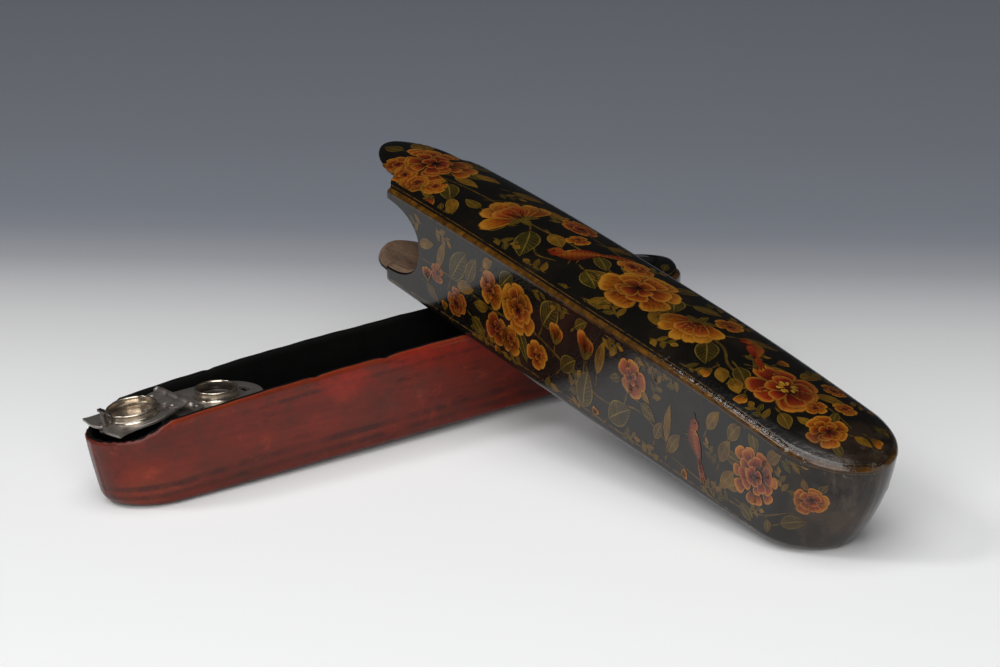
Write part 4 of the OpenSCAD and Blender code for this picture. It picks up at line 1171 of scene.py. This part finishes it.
def paint_side(c, turn):
    for row in ((186, 0.86, 8, 200), (180, 0.9, 8, 340), (156, 0.3, 8, 250), (158, 0.1, 8, 10),
                (131, 0.88, 8, 20), (122, 0.2, 9, 300), (112, 0.15, 9, 60), (112, 0.9, 8, 190),
                (93, 0.72, 9, 100), (96, 0.88, 7, 0), (76, 0.82, 8, 30), (78, 0.18, 8, 330),
                (62, 0.82, 8, 150), (52, 0.1, 8, 20), (20, 0.86, 8, 10), (38, 0.12, 8, 160),
                (72, 0.92, 7, 190), (74, 0.6, 8, 70), (46, 0.38, 7, 120), (17, 0.55, 7, 110),
                (134, 0.1, 8, 180), (104, 0.14, 7, 200), (88, 0.1, 8, 10), (30, 0.18, 7, 20)):
        sprig(c, *row)
    stem(c, (188, 0.5), (170, 0.5), (150, 0.45), (130, 0.5), (112, 0.38), (95, 0.3), (80, 0.42), (66, 0.3),
         width=0.9)
    stem(c, (64, 0.2), (45, 0.15), (25, 0.2), (13, 0.4))
    stem(c, (104, 0.1), (103, 0.4), (105, 0.6))
    stem(c, (88, 0.15), (86, 0.4), (84, 0.6))
    for row in ((188, 0.62, 180, 0.72, 3.5, 0.7), (178, 0.5, 174, 0.82, 3.5, 0.85),
                (171, 0.48, 163, 0.84, 7.5, 0.05), (163, 0.55, 158, 0.84, 5, 0.3),
                (168, 0.45, 159, 0.52, 4.5, 1.0), (184, 0.28, 177, 0.16, 3.5, 0.4),
                (160, 0.25, 153, 0.12, 4, 0.2), (146, 0.72, 140, 0.92, 6, 0.05),
                (125, 0.62, 118, 0.92, 8.5, 0.0), (137, 0.45, 132, 0.16, 4.5, 0.05),
                (116, 0.32, 109, 0.5, 5.5, 0.1), (99, 0.5, 96, 0.86, 4, 0.9),
                (105, 0.1, 103, 0.48, 8, 0.15), (93, 0.16, 83, 0.38, 8, 0.1),
                (79, 0.5, 72, 0.42, 4, 0.1), (67, 0.3, 66, 0.68, 3, 0.7), (66, 0.22, 61, 0.46, 4, 0.4),
                (72, 0.26, 69, 0.46, 3.5, 0.3), (50, 0.68, 45, 0.92, 4, 0.7),
                (41, 0.72, 36, 0.94, 4.5, 0.4), (44, 0.46, 40, 0.72, 4.5, 0.6),
                (43, 0.22, 37, 0.46, 4.5, 0.7), (15, 0.24, 8, 0.36, 5, 0.2), (33, 0.2, 26, 0.1, 4, 0.15),
                (20, 0.22, 18, 0.08, 3, 0.3), (155, 0.8, 150, 0.93, 3.5, 0.9),
                (110, 0.8, 104, 0.93, 3.5, 0.2)):
        leaf(c, *row)
    flower(c, 178, 0.45, 3.4, "rose", 0, shift=-0.3)
    flower(c, 168, 0.28, 5, "rose", 20, shift=-0.45)
    bud(c, 183, 0.3, 5, 100)
    small_leaves(c, 146, 0.5, 9, (130, 200, 260))
    flower(c, 151, 0.6, 6.2, "five", 10 + turn)
    flower(c, 147, 0.3, 5.6, "five", 40, shift=-0.4)
    flower(c, 137, 0.62, 8.5, "rose", 30 + turn, shift=0.1)
    flower(c, 140, 0.28, 5, "five", 0)
    bud(c, 119, 0.52, 7, 82, 0.1, 0.6)
    flower(c, 127, 0.3, 5.2, "five", 30)
    bud(c, 105, 0.56, 9, 84, 0.05, 0.4)
    small_leaves(c, 84, 0.67, 6.5, (200, -20, 60))
    flower(c, 84, 0.67, 6.8, "five", 12, shift=-0.2)
    bird(c, 55, 0.5, 13, 112, 0.1, flip=-1)
    small_leaves(c, 28, 0.55, 10, (170, 220, 100, 60))
    flower(c, 28, 0.56, 10, "peony", 25 + turn, squash=(1.05, 0.95), shift=-0.25)
    flower(c, 9, 0.6, 4.8, "rose", 15, shift=-0.2)
    small_leaves(c, 9, 0.6, 4.5, (60, 120, 170))
    for s, share, angle in ((145, 0.1, 200), (170, 0.1, 250), (174, 0.13, 90), (60, 0.1, 20), (100, 0.1, 60)):
        bud(c, s, share, 3.2, angle, 0.6, 1.0)


def paint_head(c):
    if c.face == "top":
        for side in (-1, 1):
            leaf(c, 220, 0.8 * side, 213, 0.84 * side, 3, 0.2)
            leaf(c, 226, 0.74 * side, 231, 0.6 * side, 2.4, 0.05)
        return
    flower(c, 212, 0.52, 8, "five", 15)
    small_leaves(c, 212, 0.52, 8, (20, 150, 250))
    leaf(c, 222, 0.4, 232, 0.3, 4, 0.1)
    leaf(c, 220, 0.55, 229, 0.68, 4, 0.05)
    stem(c, (196, 0.5), (205, 0.45), (216, 0.4), (228, 0.4))


for face in ("top", "near", "far"):
    case_chart = Chart("case_painting_" + face, face, lay_case, "case", keep_on_case)
    if face == "top":
        paint_top(case_chart)
    else:
        paint_side(case_chart, 0 if face == "near" else 35)
    case_chart.finish()
    head_chart = Chart("head_painting_" + face, face, lay_head, "drawer", keep_on_head)
    paint_head(head_chart)
    head_chart.finish()
bpy.data.objects.remove(PETAL_SHAPE)


# Silver inkwell: the solids with softened edges, a dished lid and rolled lips
def softened(node, body, width, material):
    """A copy of a solid with its edges rounded, in place of the solid."""
    mesh = nodes[node].data.copy()
    mesh.name = "soft_" + node
    work = bmesh.new()
    work.from_mesh(mesh)
    bmesh.ops.remove_doubles(work, verts=work.verts, dist=1e-6)
    bmesh.ops.dissolve_limit(work, angle_limit=math.radians(1.5), verts=work.verts, edges=work.edges)
    sharp = [e for e in work.edges if len(e.link_faces) == 2 and e.calc_face_angle(0) > math.radians(28)]
    bmesh.ops.bevel(work, geom=sharp, offset=width * MM, offset_type="OFFSET", segments=2, profile=0.6,
                    affect="EDGES", clamp_overlap=True)
    bmesh.ops.triangulate(work, faces=[f for f in work.faces if len(f.verts) > 4])
    bmesh.ops.recalc_face_normals(work, faces=work.faces)
    work.to_mesh(mesh)
    work.free()
    mesh.materials.clear()
    mesh.materials.append(material)
    mesh.polygons.foreach_set("material_index", np.zeros(len(mesh.polygons), dtype=np.int32))
    mesh.polygons.foreach_set("use_smooth", np.ones(len(mesh.polygons), dtype=bool))
    mesh.set_sharp_from_angle(angle=math.radians(35))
    piece = bpy.data.objects.new("soft_" + node, mesh)
    scene.collection.objects.link(piece)
    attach(piece, body)
    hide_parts(node)


for node, body, width in (("inkwell_wall", "inkwell", 0.2), ("inkwell_floor", "inkwell", 0.2),
                          ("inkwell_top_plate", "inkwell", 0.16), ("hinge_strap_fixed", "inkwell", 0.12),
                          ("strap_rivets_fixed", "inkwell", 0.08), ("hinge_pin", "inkwell", 0.1),
                          ("hinge_strap_lid", "lid", 0.12), ("strap_rivets_lid", "lid", 0.08),
                          ("catch_spindle", "catch", 0.12), ("catch_knob", "catch", 0.15)):
    softened(node, body, width, SHADED_SILVER if body == "catch" else SILVER)


def turned_ring(name, centre_x, base_z, profile, body, node, lay):
    """A ring turned from a closed profile of (radius, height) points."""
    steps = 72
    rows = []
    for k in range(steps):
        a = 2 * math.pi * k / steps
        rows += [(centre_x + r * math.cos(a), r * math.sin(a), base_z + h) for r, h in profile]
    count = len(profile)
    faces = []
    for k in range(steps):
        for j in range(count):
            a, b = k * count, ((k + 1) % steps) * count
            n = (j + 1) % count
            faces.append((a + j, b + j, b + n, a + n))
    piece = outward(make_piece(name, lay(np.array(rows)), faces, [LIT_SILVER]))
    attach(piece, body)
    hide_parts(node)


def lipped_profile(inner, outer, height):
    """Thin wall with a foot fillet and a lip rolled outwards."""
    lip = []
    middle = (inner + outer) / 2 + (LIP_R - (outer - inner) / 2)
    for k in range(9):
        a = math.radians(-90 + 225 * k / 8)
        lip.append((middle + LIP_R * math.cos(a), height - LIP_R + LIP_R * math.sin(a)))
    wall = [(inner, 0.0), (outer + 0.35, 0.0), (outer + 0.12, 0.14), (outer, 0.4)]
    return wall + lip + [(inner, height - 1.5 * LIP_R)]


COLLAR_R, COLLAR_H, RING_IN_R, RING_H, RING_T, LIP_R, MOUTH_X = 6.4, 2.8, 7.0, 2.7, 0.6, 0.3, 14.1
LID_Z = AXIS_Z - 0.1
collar_profile = lipped_profile(COLLAR_R - RING_T, COLLAR_R, COLLAR_H)
turned_ring("rolled_collar", HINGE_X + MOUTH_X, PLATE_Z, collar_profile, "inkwell", "mouth_collar",
            lay_drawer)
ring_profile = lipped_profile(RING_IN_R, RING_IN_R + RING_T, RING_H)
turned_ring("rolled_lid_ring", HINGE_X - MOUTH_X, LID_Z, ring_profile, "lid", "lid_ring", lay_lid)

LID_LEN, LID_W, LID_ROOT_W, LID_T, LID_X0, LID_SIDE_X = 24.8, 21.1, 15.0, 0.9, 2.35, 13.6
DISH_DEPTH, LID_EDGE_IN, LID_EDGE_DOWN = 0.55, 0.16, 0.14


def lid_outline():
    """The lid's edge from hinge to free end: a straight side, a sharp corner and two lobes with a notch."""
    root, wide, side_x = LID_ROOT_W / 2, LID_W / 2, LID_SIDE_X
    half = [(LID_X0, root - 1), (LID_X0 + 0.9, root)]
    for k in range(1, 8):
        t = k / 8
        swell = (wide - 0.4 - root) * math.sin(math.pi / 2 * t)
        half.append((LID_X0 + 0.9 + (side_x - LID_X0 - 0.9) * t, root + swell))
    for k in range(8):
        t = k / 8
        half.append((side_x + (LID_LEN - 1.2 - side_x) * t, wide - 0.4 - 0.5 * math.sin(math.pi * t)))
    half += [(LID_LEN - 1.2, wide - 0.3), (LID_LEN + 0.1, wide + 0.3)]
    for k in range(1, 12):
        t = k / 12
        half.append((LID_LEN + 0.1 + 0.8 * math.sin(math.pi * t ** 1.3), (wide - 0.6) * (1 - t) + 0.5))
    return half + [(LID_LEN - 0.3, 0.35), (LID_LEN - 0.9, 0.1)]


def lid_piece():
    """Dished lid lying open, with its inner face up."""
    half = lid_outline()
    edge = np.array(half + [(x, -y) for x, y in reversed(half)])
    middle = np.array([MOUTH_X, 0.0])
    away = edge - middle
    reach = np.linalg.norm(away, axis=1)
    way = away / reach[:, None]
    dish = RING_IN_R - 0.15
    ones = np.ones_like(reach)
    rows = []
    for share in (0.0, 0.3, 0.55, 0.78, 0.92, 1.0):
        rows.append((share * dish * ones, -DISH_DEPTH * (1 - share * share)))
    rows += [((dish + 0.4) * ones, 0.0), (reach - LID_EDGE_IN, 0.0), (reach, -LID_EDGE_DOWN),
             (reach, -LID_T + LID_EDGE_DOWN), (reach - LID_EDGE_IN, -LID_T), (0.6 * dish * ones, -LID_T),
             (0.02 * ones, -LID_T)]
    points = []
    for radius, z in rows:
        spots = middle + way * radius[:, None]
        points += [(HINGE_X - x, y, LID_Z + z) for x, y in spots]
    cols = len(edge)
    faces = grid_quads(len(rows), cols, 0, True, False)
    slots = [1] * (5 * cols) + [0] * ((len(rows) - 6) * cols)
    piece = outward(make_piece("dished_lid", lay_lid(np.array(points)), faces, [SILVER, LIT_SILVER], slots))
    piece.data.set_sharp_from_angle(angle=math.radians(40))
    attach(piece, "lid")
    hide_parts("lid_plate")


lid_piece()

# Stage: the camera, a pale floor whose greying with distance is painted fall-off of the light, the sky and
# the lamps
AZIMUTH, ELEVATION, DISTANCE = math.radians(54.872), math.radians(17.129), 1.15511
TARGET, ROLL, FOCAL = Vector((0.07926, 0.12578, 0.0)), math.radians(-2.4636), 3500.0
SENSOR_W, PICTURE_W = 36.0, 1000.0
GREY_TURN = math.radians(13)
forward = Vector((math.cos(ELEVATION) * math.cos(AZIMUTH), math.cos(ELEVATION) * math.sin(AZIMUTH),
                  -math.sin(ELEVATION)))
right = Vector((math.sin(AZIMUTH), -math.cos(AZIMUTH), 0.0))
above = right.cross(forward)
cam_right = right * math.cos(ROLL) + above * math.sin(ROLL)
cam_up = above * math.cos(ROLL) - right * math.sin(ROLL)


def floor_finish():
    f = Finish("pale_floor")
    place = f.place(turn=(0, 0, GREY_TURN - AZIMUTH))
    depth = f.node("ShaderNodeSeparateXYZ", Vector=place).outputs["X"]
    # The greying with distance is painted: it stands in for the light falling off towards the back
    fade = f.grey(depth, -0.4, 0.9)
    pale = ((0.0, 252), (0.31, 252), (0.345, 247), (0.377, 240), (0.4, 232), (0.426, 221))
    cool = ((0.452, 202, 202, 205), (0.481, 168, 169, 174), (0.513, 142, 146, 155), (0.536, 135, 140, 149),
            (0.617, 129, 133, 142), (0.7, 128, 132, 140), (1.0, 127, 131, 139))
    stops = [(at, linear(grey, grey, grey)) for at, grey in pale]
    stops += [(at, linear(red, green, blue)) for at, red, green, blue in cool]
    colour = f.ramp(fade, *stops)
    f.set(Base_Color=colour, Roughness=0.9, Specular_IOR_Level=0.1)
    return f.mat


FLOOR_R, GROUND_Z = 6.0, -0.0003
corners = [(x * FLOOR_R, y * FLOOR_R, GROUND_Z) for x, y in ((-1, -1), (1, -1), (1, 1), (-1, 1))]
floor = make_piece("floor", corners, [(0, 1, 2, 3)], [floor_finish()], smooth=False)


def studio_world():
    """Dim near the horizon, so that the lacquer stays black, and pale overhead."""
    made = bpy.data.worlds.new("studio")
    made.use_nodes = True
    tree = made.node_tree
    coords = tree.nodes.new("ShaderNodeTexCoord")
    split = tree.nodes.new("ShaderNodeSeparateXYZ")
    tree.links.new(coords.outputs["Generated"], split.inputs[0])
    ramp = tree.nodes.new("ShaderNodeValToRGB")
    sky = ((0.88, (0.022, 0.023, 0.026, 1)), (0.99, (0.62, 0.63, 0.65, 1)))
    for element, (height, colour) in zip(ramp.color_ramp.elements, sky):
        element.position = height
        element.color = colour
    tree.links.new(split.outputs["Z"], ramp.inputs["Fac"])
    tree.links.new(ramp.outputs["Color"], tree.nodes["Background"].inputs["Color"])
    tree.nodes["Background"].inputs["Strength"].default_value = 0.8
    return made


scene.world = studio_world()


def soft_box(name, place, aim, wide, tall, power):
    lamp = bpy.data.lights.new(name, "AREA")
    lamp.shape = "RECTANGLE"
    lamp.size = wide
    lamp.size_y = tall
    lamp.energy = power
    holder = bpy.data.objects.new(name, lamp)
    holder.location = place
    holder.rotation_euler = (Vector(aim) - Vector(place)).to_track_quat("-Z", "Y").to_euler()
    scene.collection.objects.link(holder)


soft_box("overhead", (-0.4, -0.3, 1.5), (0.0, 0.0, 0.0), 1.5, 1.5, 12.5)
soft_box("left_fill", (-1.0, 0.55, 1.2), (-0.05, 0.1, 0.0), 0.36, 0.36, 5.2)
soft_box("front_fill", (-0.85, -0.95, 0.6), (0.0, 0.0, 0.0), 1.4, 0.8, 14.0)

lens = bpy.data.cameras.new("camera")
lens.sensor_width = SENSOR_W
lens.lens = FOCAL * SENSOR_W / PICTURE_W
lens.clip_start = 0.01
lens.clip_end = 50.0
camera = bpy.data.objects.new("camera", lens)
spot = TARGET - forward * DISTANCE
camera.matrix_world = Matrix(((cam_right.x, cam_up.x, -forward.x, spot.x),
                              (cam_right.y, cam_up.y, -forward.y, spot.y),
                              (cam_right.z, cam_up.z, -forward.z, spot.z), (0, 0, 0, 1)))
scene.collection.objects.link(camera)
scene.camera = camera
